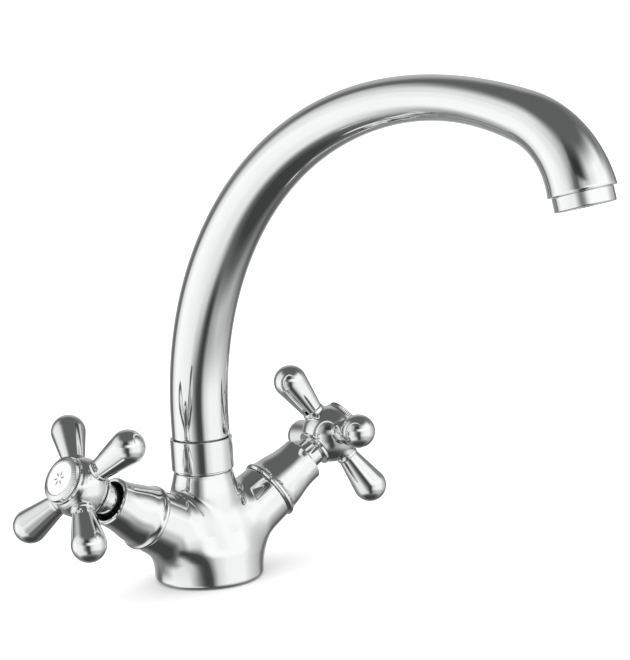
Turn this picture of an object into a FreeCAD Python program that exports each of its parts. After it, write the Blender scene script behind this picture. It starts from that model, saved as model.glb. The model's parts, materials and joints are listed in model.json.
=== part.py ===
import FreeCAD, Part
import math
import os

from FreeCAD import Placement, Rotation, Vector

# A deck-mounted kitchen mixer tap: one cast body on a round foot, two slanted valve arms
# with cross handles, and a tall arched spout that swivels on the body's neck.
# Millimetres. +Z is up, the origin is the centre of the foot's underside, the spout reaches
# towards -Y, the hot side is at -X and the cold side at +X.
# Heights on the centre line are measured from the deck. Stations on an arm are measured
# along the arm's own axis, outwards from the point where it crosses the centre line.

# Clearances
RUNNING_FIT = 0.05
SEAT_GAP = 0.1
FREE_GAP = 0.3
SEAL_GAP = 0.02
SEAL_GROOVE_PLAY = 0.3
LAPPED_FILM = 0.05

# How far a cutting tool runs past the faces that it cuts through
CUT_MARGIN = 1.0

# Foot, shoulder and neck of the body
FOOT_DIAMETER = 50.0
FOOT_HEIGHT = 13.0
FOOT_EDGE_ROUND = 1.0
SHOULDER_MIDDLE_DIAMETER = 38.6
SHOULDER_MIDDLE_HEIGHT = 26.0
NECK_ROOT_DIAMETER = 31.0
NECK_LENGTH = 8.7
NECK_TOP_DIAMETER = 26.8
NECK_TOP_HEIGHT = 49.7
NECK_TOP_FLARE_RATIO = 0.18
BODY_BLEND = 4.8

# Arms of the body
ARM_CROSSING_HEIGHT = 14.0
ARM_RISE_ANGLE = 31.0
ARM_FORWARD_ANGLE = 4.8
ARM_ROOT_STATION = 6.0
ARM_ROOT_DIAMETER = 32.6
ARM_END_DIAMETER = 28.0
ARM_END_STATION = 38.6

# Holes in the foot
INLET_SPACING = 19.0
INLET_THREAD_BORE = 9.0
INLET_THREAD_DEPTH = 12.0
INLET_WATER_BORE = 8.0
STUD_HOLE_OFFSET = 12.5
STUD_THREAD_BORE = 6.8
STUD_THREAD_DEPTH = 14.0

# Seal under the foot
GASKET_OUTER_DIAMETER = 45.0
GASKET_WIDTH = 3.5
GASKET_THICKNESS = 1.5

# Valve pocket in each arm
VALVE_THREAD_DIAMETER = 20.9
SEAT_STATION = 21.5
SEAT_PORT_DIAMETER = 10.0
SEAT_PORT_END_STATION = 8.0
OUTLET_PORT_DIAMETER = 7.2
OUTLET_PORT_HEIGHT = 36.0
OUTLET_PORT_DROP = 6.0
OUTLET_PORT_REACH = 24.0

# Swivel joint between body and spout. Depths are measured down from the neck's rim
CHAMBER_BOTTOM_HEIGHT = 32.0
SPIGOT_DIAMETER = 18.2
SPIGOT_DEPTH = 19.2
SPIGOT_WATER_BORE = 13.2
NECK_THREAD_DIAMETER = 24.0
SLIDE_RING_HEIGHT = 2.3
SLIDE_RING_DIAMETER = 23.0
SLIDE_RING_GROOVE_DIAMETER = 16.8
SLIDE_RING_SPLIT = 1.5
SPIGOT_SHOULDER_DIAMETER = 19.4
SPIGOT_PLUG_LENGTH = 9.0
SPIGOT_UPPER_SEAL_DEPTH = 8.2
SPIGOT_SEAL_SPACING = 7.0
SPIGOT_SEAL_GROOVE_DIAMETER = 15.8
COLLAR_DIAMETER = 28.4
COLLAR_LIP_THICKNESS = 2.4
COLLAR_LENGTH = 15.4
COLLAR_CHAMFER = 1.1
TUBE_INSERTION = 2.4

# Spout: a straight foot, then three arcs that touch each other end to end
SPOUT_REST_ANGLE = 9.0
SPOUT_STRAIGHT_LENGTH = 11.0
RISING_ARC_RADIUS = 145.0
RISING_ARC_ANGLE = 66.6
CROWN_ARC_RADIUS = 155.7
CROWN_ARC_ANGLE = 41.2
MOUTH_ARC_RADIUS = 38.1
MOUTH_ARC_ANGLE = 59.0
SPOUT_WALL = 1.6
SPOUT_FOOT_DIAMETER = 26.4
SPOUT_LOWER_DIAMETER = 26.3
SPOUT_MIDDLE_DIAMETER = 24.7
SPOUT_UPPER_DIAMETER = 20.6
SPOUT_CROWN_DIAMETER = 18.8
SPOUT_BEND_DIAMETER = 22.0
SPOUT_MOUTH_DIAMETER = 27.0
SPOUT_SECTION_COUNT = 20
CURVE_HALVINGS = 40

# Aerator in the spout's mouth
AERATOR_THREAD_DIAMETER = 22.0
AERATOR_THREAD_LENGTH = 7.0
AERATOR_BORE_DEPTH = 9.0
AERATOR_RIM_DIAMETER = 24.0
AERATOR_RIM_HEIGHT = 6.0
AERATOR_INSERT_DIAMETER = 19.4
AERATOR_OUTLET_DIAMETER = 17.8
AERATOR_LIP_THICKNESS = 0.9
AERATOR_INSERT_LENGTH = 10.0
AERATOR_INSERT_WALL = 1.2
AERATOR_GRID_THICKNESS = 2.5
AERATOR_JET_DIAMETER = 2.0
AERATOR_JET_PITCH = 3.6
AERATOR_JET_RINGS = 2
AERATOR_GASKET_THICKNESS = 1.6
AERATOR_GASKET_HOLE = 13.0

# Sleeve over each valve
SLEEVE_MOUTH_STATION = 62.5
SLEEVE_LIP_DIAMETER = 30.2
SLEEVE_LIP_ROUND = 1.3
SLEEVE_LIP_SLOPE_RATIO = 0.6
SLEEVE_FLARE_DIAMETER = 26.4
SLEEVE_FLARE_STATION = 45.5
SLEEVE_WAIST_DIAMETER = 22.8
SLEEVE_WAIST_STATION = 54.0
SLEEVE_MOUTH_DIAMETER = 22.0
SLEEVE_MOUTH_ROUND = 1.2
SLEEVE_THREAD_DIAMETER = 16.8
SLEEVE_THREAD_START = 50.0
SLEEVE_SKIRT_BORE = 23.2
SLEEVE_SKIRT_END_STATION = 46.0

# Valve headwork
HOUSING_BOTTOM_GAP = 1.4
HOUSING_SKIRT_DIAMETER = 18.8
HOUSING_THREAD_START = 31.5
HOUSING_BORE = 16.4
HOUSING_ROOF_STATION = 33.0
HOUSING_FLANGE_DIAMETER = 22.4
HOUSING_FLANGE_THICKNESS = 1.5
HOUSING_HEX_ACROSS_FLATS = 19.0
HOUSING_HEX_HEIGHT = 5.0
HOUSING_TOP_STATION = 56.5
HOUSING_WINDOW_WIDTH = 7.0
HOUSING_SEAL_GROOVE_DIAMETER = 17.6
SEAT_SEAL_THICKNESS = 2.4
DISC_THICKNESS = 2.5
FIXED_DISC_DIAMETER = 16.2
MOVING_DISC_DIAMETER = 15.8
DISC_PORT_DIAMETER = 4.8
DISC_PORT_OFFSET = 4.4
SPINDLE_DIAMETER = 8.0
SPINDLE_FOOT_THICKNESS = 2.5
SPINDLE_FOOT_WIDTH = 5.6
DRIVE_LUG_WIDTH = 3.0
DRIVE_LUG_DEPTH = 1.8
DRIVE_LUG_LENGTH = 1.6
DRIVE_LUG_GAP = 0.15
SPINDLE_SEAL_STATION = 46.0
SPINDLE_SEAL_GROOVE_DIAMETER = 6.0
CIRCLIP_THICKNESS = 0.8
CIRCLIP_DIAMETER = 11.0
CIRCLIP_GROOVE_DIAMETER = 7.2
CIRCLIP_GAP_WIDTH = 3.0

# Cross handle. Reaches and the setback are measured from the middle of the hub's ball
HANDLE_STANDOFF = 18.2
HOT_HANDLE_ANGLE = 43.5
COLD_HANDLE_ANGLE = 76.3
HUB_BALL_DIAMETER = 26.8
HUB_NECK_DIAMETER = 14.0
HUB_NECK_CLEARANCE = 1.8
HUB_UNDERCUT_DIAMETER = 12.6
HUB_UNDERCUT_WIDTH = 0.8
HUB_BACK_DIAMETER = 18.0
HUB_BACK_SETBACK = 10.1
HUB_BACK_RING_WIDTH = 1.3
HUB_FRONT_DIAMETER = 21.2
HUB_FRONT_REACH = 8.6
HUB_SHOULDER_REACH = 5.7
HUB_WEB_DEPTH = 4.4
HUB_WEB_THICKNESS = 2.6
CAP_SPIGOT_DIAMETER = 16.8
CAP_SPIGOT_DEPTH = 2.0
HANDLE_ARM_COUNT = 4
HANDLE_BALL_OFFSET = 31.6
HANDLE_BALL_DIAMETER = 15.6
HANDLE_ARM_ROOT_OFFSET = 12.2
HANDLE_ARM_ROOT_DIAMETER = 9.9
HANDLE_ARM_RING_DIAMETER = 10.7
HANDLE_ARM_RING_WIDTH = 1.6
HANDLE_STUD_DIAMETER = 5.0
HANDLE_STUD_LENGTH = 4.2

# Handle screw, cap and index disc
SCREW_DIAMETER = 4.0
SCREW_LENGTH = 12.0
SCREW_HEAD_DIAMETER = 7.2
SCREW_HEAD_HEIGHT = 1.9
SCREW_SLOT_WIDTH = 1.0
SCREW_SLOT_DEPTH = 0.9
CAP_DIAMETER = 20.7
CAP_THICKNESS = 2.8
CAP_BEVEL_HEIGHT = 0.8
CAP_RECESS_DEPTH = 0.9
KNURL_COUNT = 72
KNURL_DEPTH = 0.3
INDEX_DISC_DIAMETER = 15.4
INDEX_DISC_THICKNESS = 0.8

TOP = Vector(0, 0, 1)
CENTRE = Vector(0, 0, 0)


# Small shape helpers

def point(radius, height):
    return Vector(radius, 0, height)


def line(start, end):
    return Part.LineSegment(point(*start), point(*end)).toShape()


def arc(start, middle, end):
    return Part.Arc(point(*start), point(*middle), point(*end)).toShape()


def smooth(points, start_slope=None, end_slope=None):
    """A smooth curve through profile points, with its end directions if they are given."""
    curve = Part.BSplineCurve()
    places = [point(*each) for each in points]
    if start_slope is None:
        curve.interpolate(places)
    else:
        curve.interpolate(
            Points=places,
            InitialTangent=point(*start_slope),
            FinalTangent=point(*end_slope),
        )
    return curve.toShape()


def turned(edges):
    """The solid that a closed profile of (radius, height) edges sweeps round the Z axis."""
    face = Part.Face(Part.Wire(Part.sortEdges(edges)[0]))
    return Part.Solid(face.revolve(CENTRE, TOP, 360))


def turned_polygon(corners):
    closed = corners + corners[:1]
    return turned([line(a, b) for a, b in zip(closed, closed[1:])])


def bar(diameter, low, high):
    return Part.makeCylinder(diameter / 2, high - low, Vector(0, 0, low))


def ring(inner_diameter, outer_diameter, low, high):
    return bar(outer_diameter, low, high).cut(bar(inner_diameter, low - CUT_MARGIN, high + CUT_MARGIN))


def o_ring(groove_diameter, bore_diameter, middle):
    """A rubber ring that just fills the gap between a groove's floor and the bore round it."""
    gap = (bore_diameter - groove_diameter) / 2
    section = gap / 2 - SEAL_GAP
    mean = (bore_diameter + groove_diameter) / 4
    return Part.makeTorus(mean, section, Vector(0, 0, middle))


def block(width, depth, low, high, centre_x=0.0, centre_y=0.0):
    corner = Vector(centre_x - width / 2, centre_y - depth / 2, low)
    return Part.makeBox(width, depth, high - low, corner)


def hexagon(across_flats, low, high):
    corner_radius = across_flats / 2 / math.cos(math.pi / 6)
    corners = []
    for index in range(7):
        angle = index * math.pi / 3
        corners.append(Vector(corner_radius * math.cos(angle), corner_radius * math.sin(angle), low))
    return Part.Face(Part.makePolygon(corners)).extrude(Vector(0, 0, high - low))


def spun(shape, degrees):
    copy = shape.copy()
    copy.rotate(CENTRE, TOP, degrees)
    return copy


def placed(shape, placement):
    copy = shape.copy()
    copy.Placement = placement.multiply(copy.Placement)
    return copy


def write(name, shape):
    shape.exportStep("parts/" + name + ".step")


# Heights and stations that follow from the driving sizes

NECK_ROOT_HEIGHT = NECK_TOP_HEIGHT - NECK_LENGTH
SPOUT_DIAMETER_UNIT = 4 * SPOUT_FOOT_DIAMETER
GASKET_INNER_DIAMETER = GASKET_OUTER_DIAMETER - 2 * GASKET_WIDTH
COLLAR_BOTTOM_HEIGHT = NECK_TOP_HEIGHT + SEAT_GAP
COLLAR_TOP_HEIGHT = COLLAR_BOTTOM_HEIGHT + COLLAR_LENGTH
TUBE_BOTTOM_HEIGHT = COLLAR_TOP_HEIGHT - TUBE_INSERTION
COLLAR_LIP_TOP = TUBE_BOTTOM_HEIGHT - FREE_GAP
COLLAR_LIP_BOTTOM = COLLAR_LIP_TOP - COLLAR_LIP_THICKNESS
SLIDE_RING_TOP = COLLAR_LIP_BOTTOM - FREE_GAP
SLIDE_RING_BOTTOM = SLIDE_RING_TOP - SLIDE_RING_HEIGHT
NECK_THREAD_TOP = SLIDE_RING_BOTTOM - FREE_GAP
SPIGOT_BOTTOM_HEIGHT = NECK_THREAD_TOP - SPIGOT_DEPTH
SPIGOT_UPPER_SEAL_HEIGHT = NECK_THREAD_TOP - SPIGOT_UPPER_SEAL_DEPTH
SPIGOT_SEAL_HEIGHTS = (SPIGOT_UPPER_SEAL_HEIGHT, SPIGOT_UPPER_SEAL_HEIGHT - SPIGOT_SEAL_SPACING)
NECK_BORE = SPIGOT_DIAMETER + 2 * RUNNING_FIT
VALVE_BORE = VALVE_THREAD_DIAMETER + 2 * SEAL_GAP
SPINDLE_BORE = SPINDLE_DIAMETER + 2 * RUNNING_FIT
SPIGOT_SEAL_WIDTH = (NECK_BORE - SPIGOT_SEAL_GROOVE_DIAMETER) / 2 + SEAL_GROOVE_PLAY
HOUSING_SEAL_WIDTH = (VALVE_BORE - HOUSING_SEAL_GROOVE_DIAMETER) / 2 + SEAL_GROOVE_PLAY
SPINDLE_SEAL_WIDTH = (SPINDLE_BORE - SPINDLE_SEAL_GROOVE_DIAMETER) / 2 + SEAL_GROOVE_PLAY
FIXED_DISC_BOTTOM = SEAT_STATION + SEAT_SEAL_THICKNESS
MOVING_DISC_BOTTOM = FIXED_DISC_BOTTOM + DISC_THICKNESS + LAPPED_FILM
MOVING_DISC_TOP = MOVING_DISC_BOTTOM + DISC_THICKNESS
SPINDLE_FOOT_BOTTOM = MOVING_DISC_TOP + LAPPED_FILM
SPINDLE_FOOT_TOP = SPINDLE_FOOT_BOTTOM + SPINDLE_FOOT_THICKNESS
HOUSING_BOTTOM = SEAT_STATION + HOUSING_BOTTOM_GAP
HOUSING_HEX_BOTTOM = ARM_END_STATION + HOUSING_FLANGE_THICKNESS
HOUSING_HEX_TOP = HOUSING_HEX_BOTTOM + HOUSING_HEX_HEIGHT
CIRCLIP_BOTTOM = HOUSING_TOP_STATION + SEAT_GAP
CIRCLIP_TOP = CIRCLIP_BOTTOM + CIRCLIP_THICKNESS
HANDLE_STATION = SLEEVE_MOUTH_STATION + HANDLE_STANDOFF
HUB_NECK_START = HOUSING_TOP_STATION + HUB_NECK_CLEARANCE
HUB_BACK_STATION = HANDLE_STATION - HUB_BACK_SETBACK
HUB_FRONT_STATION = HANDLE_STATION + HUB_FRONT_REACH
HUB_SHOULDER_STATION = HANDLE_STATION + HUB_SHOULDER_REACH
HUB_WEB_TOP = HUB_FRONT_STATION - HUB_WEB_DEPTH
HUB_WEB_BOTTOM = HUB_WEB_TOP - HUB_WEB_THICKNESS
SPINDLE_TOP_STATION = HUB_WEB_BOTTOM - FREE_GAP
CAP_SPIGOT_BOTTOM = HUB_FRONT_STATION - CAP_SPIGOT_DEPTH


def arm_placement(side):
    """Places a piece built round an arm's own axis. Side is -1 for hot and +1 for cold."""
    rise = math.radians(ARM_RISE_ANGLE)
    forward = math.radians(ARM_FORWARD_ANGLE)
    axis = Vector(
        side * math.cos(rise) * math.cos(forward),
        -math.cos(rise) * math.sin(forward),
        math.sin(rise),
    )
    level = axis.cross(TOP).normalize()
    rotation = Rotation(level, axis.cross(level), axis, "ZXY")
    return Placement(Vector(0, 0, ARM_CROSSING_HEIGHT), rotation)


# The body

def foot_and_neck():
    foot = FOOT_DIAMETER / 2
    neck = NECK_TOP_DIAMETER / 2
    edge = FOOT_EDGE_ROUND
    corner = edge * (1 - math.sqrt(0.5))
    shoulder = smooth(
        [
            (foot, FOOT_HEIGHT),
            (SHOULDER_MIDDLE_DIAMETER / 2, SHOULDER_MIDDLE_HEIGHT),
            (NECK_ROOT_DIAMETER / 2, NECK_ROOT_HEIGHT),
            (neck, NECK_TOP_HEIGHT),
        ],
        (0, 1),
        (-NECK_TOP_FLARE_RATIO, 1),
    )
    return turned([
        line((0, 0), (foot - edge, 0)),
        arc((foot - edge, 0), (foot - corner, corner), (foot, edge)),
        line((foot, edge), (foot, FOOT_HEIGHT)),
        shoulder,
        line((neck, NECK_TOP_HEIGHT), (0, NECK_TOP_HEIGHT)),
        line((0, NECK_TOP_HEIGHT), (0, 0)),
    ])


def arm_blank():
    start = Vector(0, 0, ARM_ROOT_STATION)
    length = ARM_END_STATION - ARM_ROOT_STATION
    return Part.makeCone(ARM_ROOT_DIAMETER / 2, ARM_END_DIAMETER / 2, length, start)


def blended_casting():
    casting = foot_and_neck()
    for side in (-1, 1):
        casting = casting.fuse(placed(arm_blank(), arm_placement(side)))
    casting = casting.removeSplitter()
    seams = [edge for edge in casting.Edges if is_seam(edge)]
    return casting.makeFillet(blend_radius(), seams)


def blend_radius():
    """The blend between neck and arm, which ends below the neck's top."""
    rise = math.radians(ARM_RISE_ANGLE)
    slope_height = NECK_TOP_DIAMETER / 2 * math.tan(rise)
    crotch_height = ARM_CROSSING_HEIGHT + slope_height + ARM_ROOT_DIAMETER / 2 / math.cos(rise)
    half_opening = (math.pi / 2 - rise) / 2
    return min(BODY_BLEND, (NECK_TOP_HEIGHT - crotch_height) * math.tan(half_opening))


def is_seam(edge):
    """True for an edge where two of the casting's round bodies run into each other."""
    if edge.Curve.TypeId in ("Part::GeomCircle", "Part::GeomLine"):
        return False
    return len(edge.Vertexes) > 0 and edge.Length > BODY_BLEND


def valve_pocket():
    pocket = bar(VALVE_BORE, SEAT_STATION, ARM_END_STATION + CUT_MARGIN)
    return pocket.fuse(bar(SEAT_PORT_DIAMETER, SEAT_PORT_END_STATION, SEAT_STATION + CUT_MARGIN))


def outlet_port(side):
    start = Vector(0, 0, OUTLET_PORT_HEIGHT)
    run = Vector(side * OUTLET_PORT_REACH, 0, -OUTLET_PORT_DROP)
    return Part.makeCylinder(OUTLET_PORT_DIAMETER / 2, run.Length, start, run)


def inlet(side):
    water_top = ARM_CROSSING_HEIGHT + SEAT_PORT_DIAMETER / 2
    thread = bar(INLET_THREAD_BORE, -CUT_MARGIN, INLET_THREAD_DEPTH)
    hole = thread.fuse(bar(INLET_WATER_BORE, -CUT_MARGIN, water_top))
    hole.translate(Vector(side * INLET_SPACING / 2, 0, 0))
    return hole


def body():
    casting = blended_casting()
    casting = casting.fuse(bar(NECK_THREAD_DIAMETER, NECK_TOP_HEIGHT - CUT_MARGIN, NECK_THREAD_TOP))
    casting = casting.cut(bar(NECK_BORE, CHAMBER_BOTTOM_HEIGHT, NECK_THREAD_TOP + CUT_MARGIN))
    for side in (-1, 1):
        casting = casting.cut(placed(valve_pocket(), arm_placement(side)))
        casting = casting.cut(outlet_port(side))
        casting = casting.cut(inlet(side))
    stud_hole = bar(STUD_THREAD_BORE, -CUT_MARGIN, STUD_THREAD_DEPTH)
    stud_hole.translate(Vector(0, STUD_HOLE_OFFSET, 0))
    casting = casting.cut(stud_hole)
    groove = ring(
        GASKET_INNER_DIAMETER - 2 * SEAT_GAP,
        GASKET_OUTER_DIAMETER + 2 * SEAT_GAP,
        -CUT_MARGIN,
        GASKET_THICKNESS + SEAT_GAP,
    )
    return casting.cut(groove)


def base_gasket():
    return ring(GASKET_INNER_DIAMETER, GASKET_OUTER_DIAMETER, 0, GASKET_THICKNESS)


# The swivel joint

def spout_collar():
    outside = COLLAR_DIAMETER / 2
    thread = NECK_THREAD_DIAMETER / 2 + RUNNING_FIT
    lip = SPIGOT_SHOULDER_DIAMETER / 2 + SEAT_GAP
    recess = SPOUT_FOOT_DIAMETER / 2 + SEAT_GAP
    bottom = COLLAR_BOTTOM_HEIGHT
    return turned_polygon([
        (thread, bottom),
        (outside - COLLAR_CHAMFER, bottom),
        (outside, bottom + COLLAR_CHAMFER),
        (outside, COLLAR_TOP_HEIGHT),
        (recess, COLLAR_TOP_HEIGHT),
        (recess, COLLAR_LIP_TOP),
        (lip, COLLAR_LIP_TOP),
        (lip, COLLAR_LIP_BOTTOM),
        (thread, COLLAR_LIP_BOTTOM),
    ])


def spout_spigot():
    shank = SPIGOT_DIAMETER / 2
    bore = SPIGOT_WATER_BORE / 2
    plug = SPOUT_FOOT_DIAMETER / 2 - SPOUT_WALL - SEAT_GAP
    shoulder = SPIGOT_SHOULDER_DIAMETER / 2
    spigot = turned_polygon([
        (bore, SPIGOT_BOTTOM_HEIGHT),
        (shank, SPIGOT_BOTTOM_HEIGHT),
        (shank, SLIDE_RING_TOP),
        (shoulder, SLIDE_RING_TOP),
        (shoulder, TUBE_BOTTOM_HEIGHT),
        (plug, TUBE_BOTTOM_HEIGHT),
        (plug, TUBE_BOTTOM_HEIGHT + SPIGOT_PLUG_LENGTH),
        (bore, TUBE_BOTTOM_HEIGHT + SPIGOT_PLUG_LENGTH),
    ])
    grooves = [ring(SLIDE_RING_GROOVE_DIAMETER, SLIDE_RING_DIAMETER, SLIDE_RING_BOTTOM, SLIDE_RING_TOP)]
    for middle in SPIGOT_SEAL_HEIGHTS:
        half = SPIGOT_SEAL_WIDTH / 2
        grooves.append(ring(SPIGOT_SEAL_GROOVE_DIAMETER, SLIDE_RING_DIAMETER, middle - half, middle + half))
    return spigot.cut(grooves)


def spigot_seals():
    return Part.makeCompound([
        o_ring(SPIGOT_SEAL_GROOVE_DIAMETER, NECK_BORE, middle) for middle in SPIGOT_SEAL_HEIGHTS
    ])


def slide_ring():
    whole = ring(
        SLIDE_RING_GROOVE_DIAMETER + 2 * RUNNING_FIT,
        SLIDE_RING_DIAMETER,
        SLIDE_RING_BOTTOM + RUNNING_FIT,
        SLIDE_RING_TOP - RUNNING_FIT,
    )
    split = block(SLIDE_RING_SPLIT, SLIDE_RING_DIAMETER, SLIDE_RING_BOTTOM, SLIDE_RING_TOP,
                  centre_y=SLIDE_RING_DIAMETER / 2)
    return whole.cut(split)


# The spout

def spout_arcs():
    """Each stretch of the spout's line as (length, radius), where no radius means straight."""
    arcs = [(SPOUT_STRAIGHT_LENGTH, None)]
    for radius, angle in (
        (RISING_ARC_RADIUS, RISING_ARC_ANGLE),
        (CROWN_ARC_RADIUS, CROWN_ARC_ANGLE),
        (MOUTH_ARC_RADIUS, MOUTH_ARC_ANGLE),
    ):
        arcs.append((radius * math.radians(angle), radius))
    return arcs


def spout_length():
    return sum(length for length, radius in spout_arcs())


def spout_station(distance):
    """Reach, height and lean from vertical of the spout's line at a distance along it."""
    reach = 0.0
    height = TUBE_BOTTOM_HEIGHT
    lean = 0.0
    left = distance
    for length, radius in spout_arcs():
        run = min(left, length)
        left -= run
        if radius is None:
            height += run
            continue
        turn = run / radius
        reach += radius * (math.cos(lean) - math.cos(lean + turn))
        height += radius * (math.sin(lean + turn) - math.sin(lean))
        lean += turn
    return reach, height, lean


def spout_diameters():
    """Outside diameter at shares of the spout's length."""
    return [
        (0.0, SPOUT_FOOT_DIAMETER),
        (0.17, SPOUT_LOWER_DIAMETER),
        (0.37, SPOUT_MIDDLE_DIAMETER),
        (0.61, SPOUT_UPPER_DIAMETER),
        (0.80, SPOUT_CROWN_DIAMETER),
        (0.90, SPOUT_BEND_DIAMETER),
        (1.0, SPOUT_MOUTH_DIAMETER),
    ]


def spout_diameter_curve():
    """A curve of (length share, diameter), with diameters as shares of four foot diameters."""
    curve = Part.BSplineCurve()
    unit = SPOUT_DIAMETER_UNIT
    curve.interpolate([Vector(share, diameter / unit, 0) for share, diameter in spout_diameters()])
    return curve


def diameter_at(curve, share):
    low = curve.FirstParameter
    high = curve.LastParameter
    for step in range(CURVE_HALVINGS):
        middle = (low + high) / 2
        if curve.value(middle).x < share:
            low = middle
        else:
            high = middle
    return curve.value(low).y * SPOUT_DIAMETER_UNIT


def spout_section(distance, diameter):
    reach, height, lean = spout_station(distance)
    centre = Vector(0, -reach, height)
    direction = Vector(0, -math.sin(lean), math.cos(lean))
    return Part.Wire(Part.makeCircle(diameter / 2, centre, direction))


def spout_loft(wall):
    curve = spout_diameter_curve()
    length = spout_length()
    sections = []
    for index in range(SPOUT_SECTION_COUNT + 1):
        share = index / SPOUT_SECTION_COUNT
        sections.append(spout_section(share * length, diameter_at(curve, share) - 2 * wall))
    return Part.makeLoft(sections, True, False)


def mouth_placement():
    """The spout's mouth, with +Z pointing the way the water leaves."""
    reach, height, lean = spout_station(spout_length())
    rotation = Rotation(Vector(1, 0, 0), math.degrees(lean))
    return Placement(Vector(0, -reach, height), rotation)


def spout_tube():
    tube = spout_loft(0).cut(spout_loft(SPOUT_WALL))
    seat = bar(AERATOR_THREAD_DIAMETER + 2 * SEAL_GAP, -AERATOR_BORE_DEPTH, CUT_MARGIN)
    return tube.cut(placed(seat, mouth_placement()))


def aerator_housing():
    thread = AERATOR_THREAD_DIAMETER / 2
    rim = AERATOR_RIM_DIAMETER / 2
    inside = AERATOR_INSERT_DIAMETER / 2 + SEAT_GAP
    outlet = AERATOR_OUTLET_DIAMETER / 2
    return turned_polygon([
        (thread, -AERATOR_THREAD_LENGTH),
        (thread, SEAT_GAP),
        (rim, SEAT_GAP),
        (rim, AERATOR_RIM_HEIGHT),
        (outlet, AERATOR_RIM_HEIGHT),
        (outlet, AERATOR_RIM_HEIGHT - AERATOR_LIP_THICKNESS),
        (inside, AERATOR_RIM_HEIGHT - AERATOR_LIP_THICKNESS),
        (inside, -AERATOR_THREAD_LENGTH),
    ])


def aerator_insert():
    high = AERATOR_RIM_HEIGHT - AERATOR_LIP_THICKNESS - SEAT_GAP
    low = high - AERATOR_INSERT_LENGTH
    insert = bar(AERATOR_INSERT_DIAMETER, low, high)
    cup_diameter = AERATOR_INSERT_DIAMETER - 2 * AERATOR_INSERT_WALL
    cup = bar(cup_diameter, low - CUT_MARGIN, high - AERATOR_GRID_THICKNESS)
    jets = [bar(AERATOR_JET_DIAMETER, low, high + CUT_MARGIN)]
    for number in range(1, AERATOR_JET_RINGS + 1):
        jet = bar(AERATOR_JET_DIAMETER, low, high + CUT_MARGIN)
        jet.translate(Vector(number * AERATOR_JET_PITCH, 0, 0))
        count = 6 * number
        jets += [spun(jet, index * 360 / count) for index in range(count)]
    return insert.cut([cup] + jets)


def aerator_gasket():
    outside = AERATOR_THREAD_DIAMETER - 2 * SEAT_GAP
    top = -AERATOR_THREAD_LENGTH - SEAL_GAP
    return ring(AERATOR_GASKET_HOLE, outside, top - AERATOR_GASKET_THICKNESS, top)


# The valve headworks, built round the arm's axis

def sleeve():
    lip = SLEEVE_LIP_DIAMETER / 2
    skirt = SLEEVE_SKIRT_BORE / 2
    mouth = SLEEVE_MOUTH_DIAMETER / 2
    bore = SLEEVE_THREAD_DIAMETER / 2 + RUNNING_FIT
    start = ARM_END_STATION + SEAT_GAP
    end = SLEEVE_MOUTH_STATION
    curl = SLEEVE_LIP_ROUND
    brim = SLEEVE_MOUTH_ROUND
    outside = smooth(
        [
            (lip, start + curl),
            (SLEEVE_FLARE_DIAMETER / 2, SLEEVE_FLARE_STATION),
            (SLEEVE_WAIST_DIAMETER / 2, SLEEVE_WAIST_STATION),
            (mouth, end - brim),
        ],
        (-SLEEVE_LIP_SLOPE_RATIO, 1),
        (0, 1),
    )
    corner = 1 - math.sqrt(0.5)
    return turned([
        line((skirt, start), (lip - curl, start)),
        arc((lip - curl, start), (lip - curl * corner, start + curl * corner), (lip, start + curl)),
        outside,
        arc((mouth, end - brim), (mouth - brim * corner, end - brim * corner), (mouth - brim, end)),
        line((mouth - brim, end), (bore, end)),
        line((bore, end), (bore, SLEEVE_THREAD_START)),
        line((bore, SLEEVE_THREAD_START), (skirt, SLEEVE_SKIRT_END_STATION)),
        line((skirt, SLEEVE_SKIRT_END_STATION), (skirt, start)),
    ])


def valve_housing():
    skirt = HOUSING_SKIRT_DIAMETER / 2
    thread = VALVE_THREAD_DIAMETER / 2
    groove = HOUSING_SEAL_GROOVE_DIAMETER / 2
    flange = HOUSING_FLANGE_DIAMETER / 2
    barrel = SLEEVE_THREAD_DIAMETER / 2
    chamber = HOUSING_BORE / 2
    bore = SPINDLE_BORE / 2
    housing = turned_polygon([
        (chamber, HOUSING_BOTTOM),
        (skirt, HOUSING_BOTTOM),
        (skirt, HOUSING_THREAD_START),
        (thread, HOUSING_THREAD_START),
        (thread, ARM_END_STATION - HOUSING_SEAL_WIDTH),
        (groove, ARM_END_STATION - HOUSING_SEAL_WIDTH),
        (groove, ARM_END_STATION),
        (flange, ARM_END_STATION),
        (flange, HOUSING_HEX_BOTTOM),
        (barrel, HOUSING_HEX_BOTTOM),
        (barrel, HOUSING_TOP_STATION),
        (bore, HOUSING_TOP_STATION),
        (bore, HOUSING_ROOF_STATION),
        (chamber, HOUSING_ROOF_STATION),
    ])
    nut = hexagon(HOUSING_HEX_ACROSS_FLATS, HOUSING_HEX_BOTTOM, HOUSING_HEX_TOP)
    nut_bore = SLEEVE_THREAD_DIAMETER - CUT_MARGIN
    nut = nut.cut(bar(nut_bore, HOUSING_HEX_BOTTOM - CUT_MARGIN, HOUSING_HEX_TOP + CUT_MARGIN))
    window = block(2 * thread, HOUSING_WINDOW_WIDTH, MOVING_DISC_BOTTOM, SPINDLE_FOOT_TOP)
    return housing.fuse(nut).cut(window)


def seat_seal():
    return ring(
        SEAT_PORT_DIAMETER + 2 * SEAT_GAP,
        HOUSING_BORE - 2 * SEAT_GAP,
        SEAT_STATION,
        FIXED_DISC_BOTTOM - SEAL_GAP,
    )


def disc_ports(low, high):
    ports = []
    for side in (-1, 1):
        port = bar(DISC_PORT_DIAMETER, low - CUT_MARGIN, high + CUT_MARGIN)
        port.translate(Vector(side * DISC_PORT_OFFSET, 0, 0))
        ports.append(port)
    return ports


def fixed_disc():
    top = FIXED_DISC_BOTTOM + DISC_THICKNESS
    disc = bar(FIXED_DISC_DIAMETER, FIXED_DISC_BOTTOM, top)
    return spun(disc.cut(disc_ports(FIXED_DISC_BOTTOM, top)), 90)


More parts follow.
